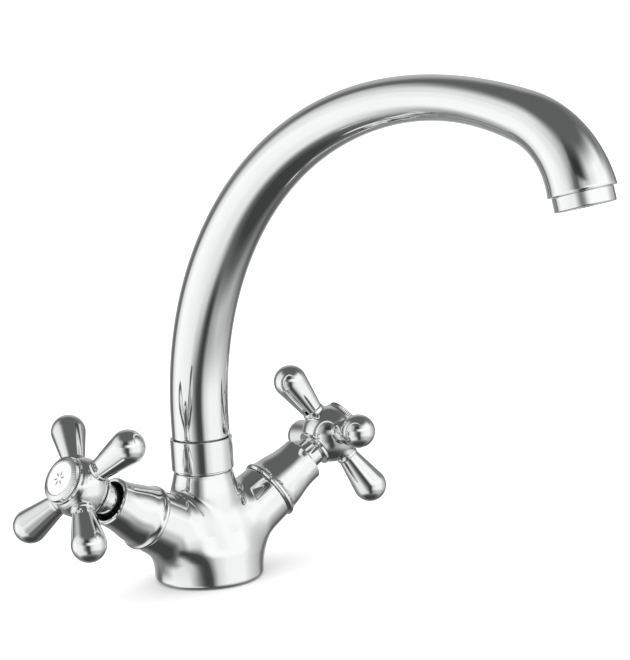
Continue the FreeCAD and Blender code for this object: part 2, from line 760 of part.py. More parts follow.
def drive_lug(low, high, gap):
    reach = MOVING_DISC_DIAMETER / 2
    depth = DRIVE_LUG_DEPTH + gap
    return block(DRIVE_LUG_WIDTH + 2 * gap, 2 * depth, low, high, centre_y=reach)


def moving_disc():
    disc = bar(MOVING_DISC_DIAMETER, MOVING_DISC_BOTTOM, MOVING_DISC_TOP)
    disc = disc.cut(disc_ports(MOVING_DISC_BOTTOM, MOVING_DISC_TOP))
    notch_floor = MOVING_DISC_TOP - DRIVE_LUG_LENGTH - FREE_GAP
    notch = drive_lug(notch_floor, MOVING_DISC_TOP + CUT_MARGIN, DRIVE_LUG_GAP)
    return disc.cut([notch, spun(notch, 180)])


def spindle():
    foot_disc = bar(MOVING_DISC_DIAMETER, SPINDLE_FOOT_BOTTOM, SPINDLE_FOOT_TOP)
    foot = foot_disc.common(
        block(SPINDLE_FOOT_WIDTH, MOVING_DISC_DIAMETER, SPINDLE_FOOT_BOTTOM, SPINDLE_FOOT_TOP))
    lug = drive_lug(MOVING_DISC_TOP - DRIVE_LUG_LENGTH, SPINDLE_FOOT_BOTTOM + CUT_MARGIN, 0)
    lug = lug.common(bar(MOVING_DISC_DIAMETER, MOVING_DISC_BOTTOM, SPINDLE_FOOT_TOP))
    shaft = bar(SPINDLE_DIAMETER, SPINDLE_FOOT_BOTTOM, SPINDLE_TOP_STATION)
    whole = foot.fuse([lug, spun(lug, 180), shaft])
    half = SPINDLE_SEAL_WIDTH / 2
    outside = SPINDLE_DIAMETER + CUT_MARGIN
    cuts = [
        ring(SPINDLE_SEAL_GROOVE_DIAMETER, outside, SPINDLE_SEAL_STATION - half, SPINDLE_SEAL_STATION + half),
        ring(CIRCLIP_GROOVE_DIAMETER, outside, CIRCLIP_BOTTOM - SEAL_GAP, CIRCLIP_TOP + SEAL_GAP),
        bar(SCREW_DIAMETER, HUB_WEB_TOP - SCREW_LENGTH - FREE_GAP, SPINDLE_TOP_STATION + CUT_MARGIN),
    ]
    return whole.cut(cuts).removeSplitter()


def spindle_seal():
    return o_ring(SPINDLE_SEAL_GROOVE_DIAMETER, SPINDLE_BORE, SPINDLE_SEAL_STATION)


def housing_seal():
    middle = ARM_END_STATION - HOUSING_SEAL_WIDTH / 2
    return o_ring(HOUSING_SEAL_GROOVE_DIAMETER, VALVE_BORE, middle)


def circlip():
    clip = ring(CIRCLIP_GROOVE_DIAMETER, CIRCLIP_DIAMETER, CIRCLIP_BOTTOM, CIRCLIP_TOP)
    reach = CIRCLIP_DIAMETER / 2
    gap = block(CIRCLIP_GAP_WIDTH, CIRCLIP_DIAMETER, CIRCLIP_BOTTOM, CIRCLIP_TOP, centre_y=reach)
    return clip.cut(gap)


# The cross handle, built round the arm's axis

def hub_blank():
    ball = HUB_BALL_DIAMETER / 2
    neck = HUB_NECK_DIAMETER / 2
    undercut = HUB_UNDERCUT_DIAMETER / 2
    back = HUB_BACK_DIAMETER / 2
    front = HUB_FRONT_DIAMETER / 2
    back_edge = HUB_BACK_STATION - HUB_BACK_RING_WIDTH
    shoulder = math.sqrt(ball ** 2 - (HUB_SHOULDER_STATION - HANDLE_STATION) ** 2)
    socket = (SPINDLE_DIAMETER + 2 * SEAL_GAP) / 2
    recess = CAP_SPIGOT_DIAMETER / 2 + SEAT_GAP
    screw_hole = SCREW_DIAMETER / 2 + SEAT_GAP
    screw_seat = SCREW_HEAD_DIAMETER / 2 + FREE_GAP
    ball_start = (math.sqrt(ball ** 2 - (HUB_BACK_STATION - HANDLE_STATION) ** 2), HUB_BACK_STATION)
    return turned([
        line((socket, HUB_NECK_START), (neck, HUB_NECK_START)),
        line((neck, HUB_NECK_START), (neck, back_edge - HUB_UNDERCUT_WIDTH)),
        line((neck, back_edge - HUB_UNDERCUT_WIDTH), (undercut, back_edge - HUB_UNDERCUT_WIDTH)),
        line((undercut, back_edge - HUB_UNDERCUT_WIDTH), (undercut, back_edge)),
        line((undercut, back_edge), (back, back_edge)),
        line((back, back_edge), (back, HUB_BACK_STATION)),
        line((back, HUB_BACK_STATION), ball_start),
        arc(ball_start, (ball, HANDLE_STATION), (shoulder, HUB_SHOULDER_STATION)),
        line((shoulder, HUB_SHOULDER_STATION), (front, HUB_FRONT_STATION)),
        line((front, HUB_FRONT_STATION), (recess, HUB_FRONT_STATION)),
        line((recess, HUB_FRONT_STATION), (recess, CAP_SPIGOT_BOTTOM)),
        line((recess, CAP_SPIGOT_BOTTOM), (screw_seat, HUB_WEB_TOP)),
        line((screw_seat, HUB_WEB_TOP), (screw_hole, HUB_WEB_TOP)),
        line((screw_hole, HUB_WEB_TOP), (screw_hole, HUB_WEB_BOTTOM)),
        line((screw_hole, HUB_WEB_BOTTOM), (socket, HUB_WEB_BOTTOM)),
        line((socket, HUB_WEB_BOTTOM), (socket, HUB_NECK_START)),
    ])


def radial_placement(degrees):
    """Turns a piece built upwards from the origin so that it points out of the hub."""
    outwards = Rotation(Vector(0, 1, 0), 90)
    turn = Rotation(TOP, degrees)
    return Placement(Vector(0, 0, HANDLE_STATION), turn.multiply(outwards))


def handle_arm_angles(turn):
    return [turn + index * 360 / HANDLE_ARM_COUNT for index in range(HANDLE_ARM_COUNT)]


def hub(turn):
    seat = bar(HANDLE_ARM_RING_DIAMETER + 2 * SEAT_GAP, HANDLE_ARM_ROOT_OFFSET, HUB_BALL_DIAMETER)
    stud_bottom = HANDLE_ARM_ROOT_OFFSET - HANDLE_STUD_LENGTH - FREE_GAP
    stud_hole = bar(HANDLE_STUD_DIAMETER + 2 * SEAL_GAP, stud_bottom, HUB_BALL_DIAMETER)
    cuts = []
    for degrees in handle_arm_angles(turn):
        cuts.append(placed(seat, radial_placement(degrees)))
        cuts.append(placed(stud_hole, radial_placement(degrees)))
    return hub_blank().cut(cuts)


def handle_arm():
    root = HANDLE_ARM_ROOT_DIAMETER / 2
    ring_radius = HANDLE_ARM_RING_DIAMETER / 2
    ball = HANDLE_BALL_DIAMETER / 2
    stud = HANDLE_STUD_DIAMETER / 2
    low = HANDLE_ARM_ROOT_OFFSET
    step = low + HANDLE_ARM_RING_WIDTH
    lean = math.asin((ball - root) / (HANDLE_BALL_OFFSET - step))
    cheek = (ball * math.cos(lean), HANDLE_BALL_OFFSET - ball * math.sin(lean))
    return turned([
        line((0, low - HANDLE_STUD_LENGTH), (stud, low - HANDLE_STUD_LENGTH)),
        line((stud, low - HANDLE_STUD_LENGTH), (stud, low)),
        line((stud, low), (ring_radius, low)),
        line((ring_radius, low), (ring_radius, step)),
        line((ring_radius, step), (root, step)),
        line((root, step), cheek),
        arc(cheek, (ball * math.cos(math.pi / 4), HANDLE_BALL_OFFSET + ball * math.sin(math.pi / 4)),
            (0, HANDLE_BALL_OFFSET + ball)),
        line((0, HANDLE_BALL_OFFSET + ball), (0, low - HANDLE_STUD_LENGTH)),
    ])


def handle_screw():
    shank = bar(SCREW_DIAMETER - 2 * SEAL_GAP, HUB_WEB_TOP - SCREW_LENGTH, HUB_WEB_TOP)
    head = bar(SCREW_HEAD_DIAMETER, HUB_WEB_TOP, HUB_WEB_TOP + SCREW_HEAD_HEIGHT)
    top = HUB_WEB_TOP + SCREW_HEAD_HEIGHT
    slot = block(SCREW_SLOT_WIDTH, SCREW_HEAD_DIAMETER + CUT_MARGIN, top - SCREW_SLOT_DEPTH, top + CUT_MARGIN)
    return shank.fuse(head).cut(slot)


def knurled_bar(diameter, low, high):
    corners = []
    for index in range(2 * KNURL_COUNT + 1):
        angle = index * math.pi / KNURL_COUNT
        radius = diameter / 2 - (index % 2) * KNURL_DEPTH
        corners.append(Vector(radius * math.cos(angle), radius * math.sin(angle), low))
    return Part.Face(Part.makePolygon(corners)).extrude(Vector(0, 0, high - low))


def cap():
    low = HUB_FRONT_STATION + SEAT_GAP
    high = low + CAP_THICKNESS
    inside = SCREW_HEAD_DIAMETER / 2 + 2 * FREE_GAP
    spigot = CAP_SPIGOT_DIAMETER / 2
    rim = CAP_DIAMETER / 2
    floor = high - CAP_RECESS_DEPTH
    recess = INDEX_DISC_DIAMETER / 2 + SEAT_GAP
    shoulder = high - CAP_BEVEL_HEIGHT
    blank = turned([
        line((0, low), (inside, low)),
        line((inside, low), (inside, CAP_SPIGOT_BOTTOM + SEAT_GAP)),
        line((inside, CAP_SPIGOT_BOTTOM + SEAT_GAP), (spigot, CAP_SPIGOT_BOTTOM + SEAT_GAP)),
        line((spigot, CAP_SPIGOT_BOTTOM + SEAT_GAP), (spigot, low)),
        line((spigot, low), (rim, low)),
        line((rim, low), (rim, shoulder)),
        line((rim, shoulder), (recess, high)),
        line((recess, high), (recess, floor)),
        line((recess, floor), (0, floor)),
        line((0, floor), (0, low)),
    ])
    return blank.common(knurled_bar(CAP_DIAMETER, CAP_SPIGOT_BOTTOM, high))


def index_disc():
    low = HUB_FRONT_STATION + SEAT_GAP + CAP_THICKNESS - CAP_RECESS_DEPTH
    return bar(INDEX_DISC_DIAMETER, low, low + INDEX_DISC_THICKNESS)


def write_side(name, side, turn):
    frame = arm_placement(side)
    pieces = {
        "sleeve": sleeve(),
        "valve_housing": valve_housing(),
        "housing_seal": housing_seal(),
        "seat_seal": seat_seal(),
        "fixed_disc": fixed_disc(),
        "moving_disc": moving_disc(),
        "spindle": spindle(),
        "spindle_seal": spindle_seal(),
        "circlip": circlip(),
        "hub": hub(turn),
        "handle_screw": handle_screw(),
        "cap": cap(),
        "index_disc": index_disc(),
    }
    for index, degrees in enumerate(handle_arm_angles(turn)):
        pieces["arm_%d" % (index + 1)] = placed(handle_arm(), radial_placement(degrees))
    for piece_name, piece in pieces.items():
        write(name + "_" + piece_name, placed(piece, frame))


def write_spout():
    mouth = mouth_placement()
    pieces = {
        "spout_tube": spout_tube(),
        "spout_spigot": spout_spigot(),
        "spigot_seals": spigot_seals(),
        "slide_ring": slide_ring(),
        "aerator_housing": placed(aerator_housing(), mouth),
        "aerator_insert": placed(aerator_insert(), mouth),
        "aerator_gasket": placed(aerator_gasket(), mouth),
    }
    for piece_name, piece in pieces.items():
        write(piece_name, spun(piece, SPOUT_REST_ANGLE))


os.makedirs("parts", exist_ok=True)
write("body", body())
write("base_gasket", base_gasket())
write("spout_collar", spout_collar())
write_spout()
write_side("hot", -1, HOT_HANDLE_ANGLE)
write_side("cold", 1, COLD_HANDLE_ANGLE)
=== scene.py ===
import json
import math

import bpy
import numpy as np
from mathutils import Matrix, Vector


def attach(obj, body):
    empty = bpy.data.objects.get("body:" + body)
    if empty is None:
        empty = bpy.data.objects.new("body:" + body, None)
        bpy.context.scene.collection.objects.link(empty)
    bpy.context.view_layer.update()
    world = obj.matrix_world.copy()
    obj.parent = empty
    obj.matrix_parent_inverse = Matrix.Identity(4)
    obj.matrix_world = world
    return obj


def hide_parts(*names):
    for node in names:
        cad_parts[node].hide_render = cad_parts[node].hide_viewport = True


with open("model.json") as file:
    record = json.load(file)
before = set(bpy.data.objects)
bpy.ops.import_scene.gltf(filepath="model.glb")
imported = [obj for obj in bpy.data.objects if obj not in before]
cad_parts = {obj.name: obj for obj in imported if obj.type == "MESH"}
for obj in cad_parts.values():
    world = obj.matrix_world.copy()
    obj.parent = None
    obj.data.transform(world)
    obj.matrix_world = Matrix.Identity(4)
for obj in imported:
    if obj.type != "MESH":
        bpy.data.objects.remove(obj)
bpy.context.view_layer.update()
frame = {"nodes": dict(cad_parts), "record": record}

MM = 0.001

# Places and sizes of the part, in millimetres, in the part's own frame. A station is a distance
# along an arm's axis from where the two axes cross.
ARM_CROSSING = 14.0
ARM_RISE = math.radians(31.0)
ARM_FORWARD = math.radians(4.8)
ARM_END = 38.6
HANDLE_STATION = 80.7
HANDLE_TURN = {"hot": 43.5, "cold": 76.3}
SIDES = {"hot": -1, "cold": 1}
SPOUT_TURN = math.radians(9.0)
TUBE_BOTTOM = 62.8
# Along the spout: a straight length, or a bend's radius and its angle in degrees
SPOUT_STRETCHES = ((11.0, None), (None, (145.0, 66.6)), (None, (155.7, 41.2)), (None, (38.1, 59.0)))
# Shares of the spout's length, each with the tube's diameter there
SPOUT_DIAMETERS = (
    (0.0, 26.4), (0.17, 26.3), (0.37, 24.7), (0.61, 20.6), (0.80, 18.8), (0.90, 22.0), (1.0, 27.0),
)
# The diameters are faired in this unit, so that they weigh little against the shares
SPOUT_UNIT = 4 * SPOUT_DIAMETERS[0][1]
SPOUT_WALL = 1.6

# The photograph's camera
VIEW_AZIMUTH = -36.113
VIEW_ELEVATION = 9.558
VIEW_ROLL = -3.231
VIEW_PLACE = Vector((-538.034, -826.116, 276.311)) * MM
FOCAL_PIXELS = 2210.08
IMAGE_WIDTH = 630
IMAGE_HEIGHT = 660
PRINCIPAL_X = 310.02
PRINCIPAL_Y = 332.11
SENSOR_WIDTH = 36.0


# ---------------------------------------------------------------- frames

def arm_frame(side):
    axis = Vector((
        side * math.cos(ARM_RISE) * math.cos(ARM_FORWARD),
        -math.cos(ARM_RISE) * math.sin(ARM_FORWARD),
        math.sin(ARM_RISE),
    ))
    level = axis.cross(Vector((0, 0, 1))).normalized()
    return frame_matrix(level, axis.cross(level), axis, Vector((0, 0, ARM_CROSSING)))


def frame_matrix(x_axis, y_axis, z_axis, origin):
    matrix = Matrix((x_axis, y_axis, z_axis)).transposed().to_4x4()
    matrix.translation = origin
    return matrix


def radial_frame(degrees):
    """Along +Z of the result a piece points out of the hub, at a turn round the arm's axis."""
    turn = Matrix.Rotation(math.radians(degrees), 4, "Z")
    outwards = Matrix.Rotation(math.pi / 2, 4, "Y")
    return Matrix.Translation((0, 0, HANDLE_STATION)) @ turn @ outwards


# ---------------------------------------------------------------- profiles

def smooth_curve(points, start_slope=None, end_slope=None, count=40):
    """A cubic curve through points, with given or natural end directions."""
    knots = np.array(points, float)
    steps = np.linalg.norm(np.diff(knots, axis=0), axis=1)
    stations = np.concatenate([[0.0], np.cumsum(steps)])
    size = len(knots)
    matrix = np.zeros((size, size))
    right = np.zeros((size, knots.shape[1]))
    for row in range(1, size - 1):
        before, after = steps[row - 1], steps[row]
        matrix[row, row - 1:row + 2] = after, 2 * (before + after), before
        rise_before = (knots[row] - knots[row - 1]) / before
        rise_after = (knots[row + 1] - knots[row]) / after
        right[row] = 3 * (after * rise_before + before * rise_after)
    for row, near, slope in ((0, 1, start_slope), (size - 1, size - 2, end_slope)):
        if slope is None:
            step = steps[0] if row == 0 else steps[-1]
            direction = 1 if row == 0 else -1
            matrix[row, row], matrix[row, near] = 2, 1
            right[row] = 3 * direction * (knots[near] - knots[row]) / step
        else:
            matrix[row, row] = 1
            vector = np.array(slope, float)
            right[row] = vector / np.linalg.norm(vector)
    slopes = np.linalg.solve(matrix, right)
    out = []
    for station in np.linspace(0, stations[-1], count):
        index = min(max(np.searchsorted(stations, station, side="right") - 1, 0), size - 2)
        length = steps[index]
        share = (station - stations[index]) / length
        a, b = knots[index], knots[index + 1]
        ta, tb = slopes[index] * length, slopes[index + 1] * length
        out.append(
            a * (1 + share * share * (2 * share - 3)) + b * share * share * (3 - 2 * share)
            + ta * share * (1 - share) ** 2 - tb * share * share * (1 - share)
        )
    return np.array(out)


def right_normal(direction):
    unit = direction / np.linalg.norm(direction)
    return np.array([unit[1], -unit[0]])


def outline(items, closed=True, arc_steps=6):
    """Turns corners into a profile of (point, normal before, normal after).
    An item is (radius, height), (radius, height, rounding), or a curve of points.
    The solid lies to the left of the profile's direction."""
    flat = []
    for item in items:
        if isinstance(item, np.ndarray):
            flat.append(("curve", item))
        else:
            flat.append(("corner", np.array(item[:2], float), item[2] if len(item) > 2 else 0.0))
    count = len(flat)
    rings = []
    for index, item in enumerate(flat):
        before = flat[index - 1] if closed or index > 0 else None
        after = flat[(index + 1) % count] if closed or index < count - 1 else None
        if item[0] == "curve":
            points = item[1]
            slopes = np.gradient(points, axis=0)
            slopes[0] = -3 * points[0] + 4 * points[1] - points[2]
            slopes[-1] = 3 * points[-1] - 4 * points[-2] + points[-3]
            for number, place in enumerate(points):
                normal = right_normal(slopes[number])
                first, last = normal, normal
                if number == 0 and before is not None:
                    first = right_normal(place - end_point(before))
                if number == len(points) - 1 and after is not None:
                    last = right_normal(start_point(after) - place)
                rings.append((place, first, last))
            continue
        place, rounding = item[1], item[2]
        coming = None if before is None else place - end_point(before)
        going = None if after is None else start_point(after) - place
        if coming is None or going is None or rounding == 0.0:
            known = going if coming is None else coming
            first = right_normal(known)
            last = right_normal(going) if going is not None else first
            rings.append((place, first, last))
            continue
        coming = coming / np.linalg.norm(coming)
        going = going / np.linalg.norm(going)
        turn = math.atan2(coming[0] * going[1] - coming[1] * going[0], float(coming @ going))
        reach = rounding * math.tan(abs(turn) / 2)
        start = place - coming * reach
        sign = 1.0 if turn > 0 else -1.0
        first_normal = right_normal(coming)
        centre = start - sign * first_normal * rounding
        for step in range(arc_steps + 1):
            angle = turn * step / arc_steps
            cosine, sine = math.cos(angle), math.sin(angle)
            normal = np.array([
                first_normal[0] * cosine - first_normal[1] * sine,
                first_normal[0] * sine + first_normal[1] * cosine,
            ])
            rings.append((centre + sign * normal * rounding, normal, normal))
    return rings


def start_point(item):
    return item[1][0] if item[0] == "curve" else item[1]


def end_point(item):
    return item[1][-1] if item[0] == "curve" else item[1]


# ---------------------------------------------------------------- meshes

def mesh_piece(name, vertices, faces, corner_normals, body, material):
    mesh = bpy.data.meshes.new(name)
    mesh.from_pydata([tuple(v) for v in vertices], [], faces)
    mesh.update()
    for polygon in mesh.polygons:
        polygon.use_smooth = True
    if corner_normals is not None:
        mesh.normals_split_custom_set([tuple(n) for n in corner_normals])
    mesh.materials.append(material)
    piece = bpy.data.objects.new(name, mesh)
    bpy.context.scene.collection.objects.link(piece)
    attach(piece, body)
    return piece


POLE_RADIUS = 1e-6
WOBBLE_SHARP_ANGLE = 28.0


def lathe_arrays(rings, matrix, segments=128, closed=True, wobble=None):
    """Sweeps profile rings round the Z axis of a matrix. wobble(point, angle) shifts a radius."""
    angles = np.linspace(0, 2 * math.pi, segments, endpoint=False)
    vertices = []
    poles = {}
    for index, (place, _, _) in enumerate(rings):
        if place[0] < POLE_RADIUS:
            poles[index] = len(vertices)
            vertices.append((0.0, 0.0, place[1]))
            continue
        for angle in angles:
            radius = place[0] + (wobble(place, angle) if wobble else 0.0)
            vertices.append((radius * math.cos(angle), radius * math.sin(angle), place[1]))
    starts = []
    counter = 0
    for index in range(len(rings)):
        starts.append(counter)
        counter += 1 if index in poles else segments
    faces, normals = [], []
    pair_count = len(rings) if closed else len(rings) - 1
    for index in range(pair_count):
        other = (index + 1) % len(rings)
        if index in poles and other in poles:
            continue
        low, high = rings[index][2], rings[other][1]
        for step in range(segments):
            following = (step + 1) % segments
            here, there = angles[step], angles[following]
            if index in poles:
                faces.append((starts[index], starts[other] + following, starts[other] + step))
                normals += [(low, here), (high, there), (high, here)]
            elif other in poles:
                faces.append((starts[index] + step, starts[index] + following, starts[other]))
                normals += [(low, here), (low, there), (high, here)]
            else:
                faces.append((
                    starts[index] + step, starts[index] + following,
                    starts[other] + following, starts[other] + step,
                ))
                normals += [(low, here), (low, there), (high, there), (high, here)]
    rotation = matrix.to_3x3()
    world = [(matrix @ Vector(v)) * MM for v in vertices]
    corners = []
    for normal, angle in normals:
        local = Vector((normal[0] * math.cos(angle), normal[0] * math.sin(angle), normal[1]))
        corners.append(rotation @ local)
    return world, faces, corners


def lathe(name, items, matrix, body, material, segments=128, closed=True, wobble=None, arc_steps=6):
    rings = outline(items, closed, arc_steps)
    vertices, faces, corners = lathe_arrays(rings, matrix, segments, closed, wobble)
    piece = mesh_piece(name, vertices, faces, None if wobble else corners, body, material)
    if wobble:
        sharpen(piece, WOBBLE_SHARP_ANGLE)
    return piece


def sharpen(piece, degrees):
    """Marks the edges that bend more than an angle, so that smooth shading stops there."""
    piece.data.set_sharp_from_angle(angle=math.radians(degrees))


# ---------------------------------------------------------------- materials

def new_material(name):
    material = bpy.data.materials.new(name)
    material.use_nodes = True
    nodes = material.node_tree.nodes
    return material, nodes, material.node_tree.links, nodes["Principled BSDF"]


def object_noise(nodes, links, scale, detail=4.0, stretch=(1, 1, 1)):
    place = nodes.new("ShaderNodeTexCoord")
    mapping = nodes.new("ShaderNodeMapping")
    mapping.inputs["Scale"].default_value = stretch
    noise = nodes.new("ShaderNodeTexNoise")
    noise.inputs["Scale"].default_value = scale
    noise.inputs["Detail"].default_value = detail
    links.new(place.outputs["Object"], mapping.inputs["Vector"])
    links.new(mapping.outputs["Vector"], noise.inputs["Vector"])
    return noise


def ramp(nodes, links, source, stops):
    node = nodes.new("ShaderNodeValToRGB")
    elements = node.color_ramp.elements
    while len(elements) < len(stops):
        elements.new(0.5)
    for element, (place, colour) in zip(elements, stops):
        element.position = place
        element.color = (*colour, 1.0) if len(colour) == 3 else colour
    links.new(source, node.inputs["Fac"])
    return node


def grey(value):
    return (value, value, value)


def bump(nodes, links, height, shader, strength, distance):
    node = nodes.new("ShaderNodeBump")
    node.inputs["Strength"].default_value = strength
    node.inputs["Distance"].default_value = distance
    links.new(height, node.inputs["Height"])
    links.new(node.outputs["Normal"], shader.inputs["Normal"])
    return node


def chrome_material(name, low_rough, high_rough, tint):
    """Polished plating: bright metal with faint wipe marks and a very slight orange peel."""
    material, nodes, links, shader = new_material(name)
    shader.inputs["Metallic"].default_value = 1.0
    wipe = object_noise(nodes, links, 90.0, 6.0, (1.0, 1.0, 0.25))
    rough = ramp(nodes, links, wipe.outputs["Fac"], ((0.35, grey(low_rough)), (0.7, grey(high_rough))))
    links.new(rough.outputs["Color"], shader.inputs["Roughness"])
    cloud = object_noise(nodes, links, 35.0, 3.0)
    colour = ramp(nodes, links, cloud.outputs["Fac"], (
        (0.3, tuple(c * 0.97 for c in tint)), (0.7, tint),
    ))
    links.new(colour.outputs["Color"], shader.inputs["Base Color"])
    peel = object_noise(nodes, links, 160.0, 2.0)
    bump(nodes, links, peel.outputs["Fac"], shader, 0.02, 0.0003)
    return material


def brass_material():
    material, nodes, links, shader = new_material("machined_brass")
    shader.inputs["Metallic"].default_value = 1.0
    marks = object_noise(nodes, links, 420.0, 5.0, (1.0, 1.0, 6.0))
    colour = ramp(nodes, links, marks.outputs["Fac"], (
        (0.3, (0.60, 0.44, 0.18)), (0.7, (0.83, 0.66, 0.34)),
    ))
    links.new(colour.outputs["Color"], shader.inputs["Base Color"])
    rough = ramp(nodes, links, marks.outputs["Fac"], ((0.3, grey(0.22)), (0.7, grey(0.4))))
    links.new(rough.outputs["Color"], shader.inputs["Roughness"])
    bump(nodes, links, marks.outputs["Fac"], shader, 0.15, 0.0002)
    return material


def plain_material(name, dark, light, roughness, scale, bump_strength, metallic=0.0, coat=0.0):
    material, nodes, links, shader = new_material(name)
    shader.inputs["Metallic"].default_value = metallic
    shader.inputs["Coat Weight"].default_value = coat
    grain = object_noise(nodes, links, scale, 5.0)
    colour = ramp(nodes, links, grain.outputs["Fac"], ((0.3, dark), (0.7, light)))
    links.new(colour.outputs["Color"], shader.inputs["Base Color"])
    rough = ramp(nodes, links, grain.outputs["Fac"], (
        (0.3, grey(roughness * 0.8)), (0.7, grey(roughness * 1.2)),
    ))
    links.new(rough.outputs["Color"], shader.inputs["Roughness"])
    bump(nodes, links, grain.outputs["Fac"], shader, bump_strength, 0.0002)
    return material


CHROME = chrome_material("polished_chrome", 0.025, 0.06, (0.86, 0.875, 0.87))
BRASS = brass_material()
CERAMIC = plain_material("lapped_ceramic", (0.80, 0.77, 0.70), (0.90, 0.88, 0.82), 0.18, 600.0, 0.03)
ENAMEL = plain_material("white_enamel", (0.64, 0.64, 0.65), (0.70, 0.70, 0.71), 0.16, 240.0, 0.02, coat=0.4)
INK = plain_material("dark_print", (0.10, 0.10, 0.11), (0.20, 0.20, 0.22), 0.4, 500.0, 0.05)
RUBBER = plain_material("black_rubber", (0.012, 0.012, 0.013), (0.03, 0.03, 0.032), 0.6, 900.0, 0.2)
PLASTIC = plain_material("white_plastic", (0.74, 0.74, 0.73), (0.84, 0.84, 0.83), 0.35, 500.0, 0.08)
STEEL = plain_material("plated_steel", (0.42, 0.42, 0.43), (0.62, 0.62, 0.63), 0.28, 700.0, 0.1, metallic=1.0)
# Brass of the valve housings, darkened to near black: painted shade where the housing sits deep inside the
# sleeve's mouth
HOUSING_BRASS_PAINTED_SHADE = plain_material("housing_brass_painted_shade", (0.05, 0.045, 0.035), (0.11, 0.095, 0.07), 0.45, 500.0, 0.1, 0.8)
# Near-black material for the sleeves' bores: painted shade inside the sleeve's mouth, not a real finish of the
# plating
SHADE = plain_material("bore_painted_shade", (0.03, 0.03, 0.03), (0.08, 0.08, 0.08), 0.5, 500.0, 0.1, 0.6)

SLOT_MATERIALS = {
    "chrome": CHROME, "brass": BRASS, "ceramic": CERAMIC, "white_enamel": ENAMEL,
    "rubber": RUBBER, "white_plastic": PLASTIC, "steel": STEEL,
}


def dress_cad_nodes():
    slots = {entry["node"]: entry["material_slot"] for entry in frame["record"]["subparts"]}
    for name, node in frame["nodes"].items():
        # The valve housings get the darkened brass: painted shade inside the sleeve's mouth
        material = HOUSING_BRASS_PAINTED_SHADE if name.endswith("valve_housing") else SLOT_MATERIALS[slots[name]]
        node.data.materials.clear()
        node.data.materials.append(material)


# ---------------------------------------------------------------- the cast body

BODY_CELL = 0.55
BODY_LOW = (-42.0, -30.0, -1.0)
BODY_HIGH = (42.0, 30.0, 58.5)
SETTLING_STEPS = 4
SETTLING_SHARE = 0.9

# The foot, shoulder and neck, as radius and height, with the outline's direction at both ends
NECK_TOP = 49.7
REVOLVE_POINTS = ((25.0, 12.0), (23.0, 18.5), (19.3, 26.0), (15.6, 41.0), (13.4, NECK_TOP))
REVOLVE_START_SLOPE = (0, 1)
REVOLVE_END_SLOPE = (-0.18, 1)
REVOLVE_COUNT = 200
NECK_EDGE_BLEND = 0.5
FOOT_EDGE_BLEND = 2.2
NECK_THREAD_RADIUS = 12.0
NECK_THREAD_MIDDLE = 53.0
NECK_THREAD_HALF_LENGTH = 4.1

# The arms taper evenly from a round root, and blend less into the neck further up
ARM_ROOT = 6.0
ARM_ROOT_RADIUS = 16.3
ARM_NARROWING = 2.3
ARM_TAPER_LENGTH = 32.6
ARM_TAPER_COSINE = 0.9975
ARM_EDGE_BLEND = 0.8
ARM_BLEND_HEIGHTS = (14.0, 24.0, 34.0, 42.0)
ARM_BLEND_WIDTHS = (9.0, 9.0, 7.0, 4.5)

# Holes in the casting
CHAMBER_RADIUS = 9.15
CHAMBER_BOTTOM = 32.0
VALVE_BORE_RADIUS = 10.47
VALVE_SEAT = 21.5
SEAT_PORT_RADIUS = 5.0
SEAT_PORT_END = 8.0
INLET_OFFSET = 9.5
INLET_THREAD_RADIUS = 4.5
INLET_THREAD_DEPTH = 12.0
INLET_WATER_RADIUS = 4.0
INLET_WATER_DEPTH = 19.0
STUD_HOLE_OFFSET = 12.5
STUD_HOLE_RADIUS = 3.4
STUD_HOLE_DEPTH = 14.0
GASKET_GROOVE_RADIUS = 20.75
GASKET_GROOVE_HALF_WIDTH = 1.85
GASKET_GROOVE_DEPTH = 1.6


def revolve_radius_table():
    points = smooth_curve(REVOLVE_POINTS, REVOLVE_START_SLOPE, REVOLVE_END_SLOPE, REVOLVE_COUNT)
    return points[:, 1], points[:, 0]


REVOLVE_HEIGHTS, REVOLVE_RADII = revolve_radius_table()


def blend_min(a, b, width):
    share = np.clip(0.5 + 0.5 * (b - a) / width, 0.0, 1.0)
    return b + (a - b) * share - width * share * (1.0 - share)


def blend_max(a, b, width):
    return -blend_min(-a, -b, width)


def arm_coordinates(points, side):
    matrix = arm_frame(side)
    axis = np.array(matrix.to_3x3().col[2])
    relative = points - np.array(matrix.translation)
    station = relative @ axis
    radius = np.linalg.norm(relative - station[..., None] * axis, axis=-1)
    return radius, station


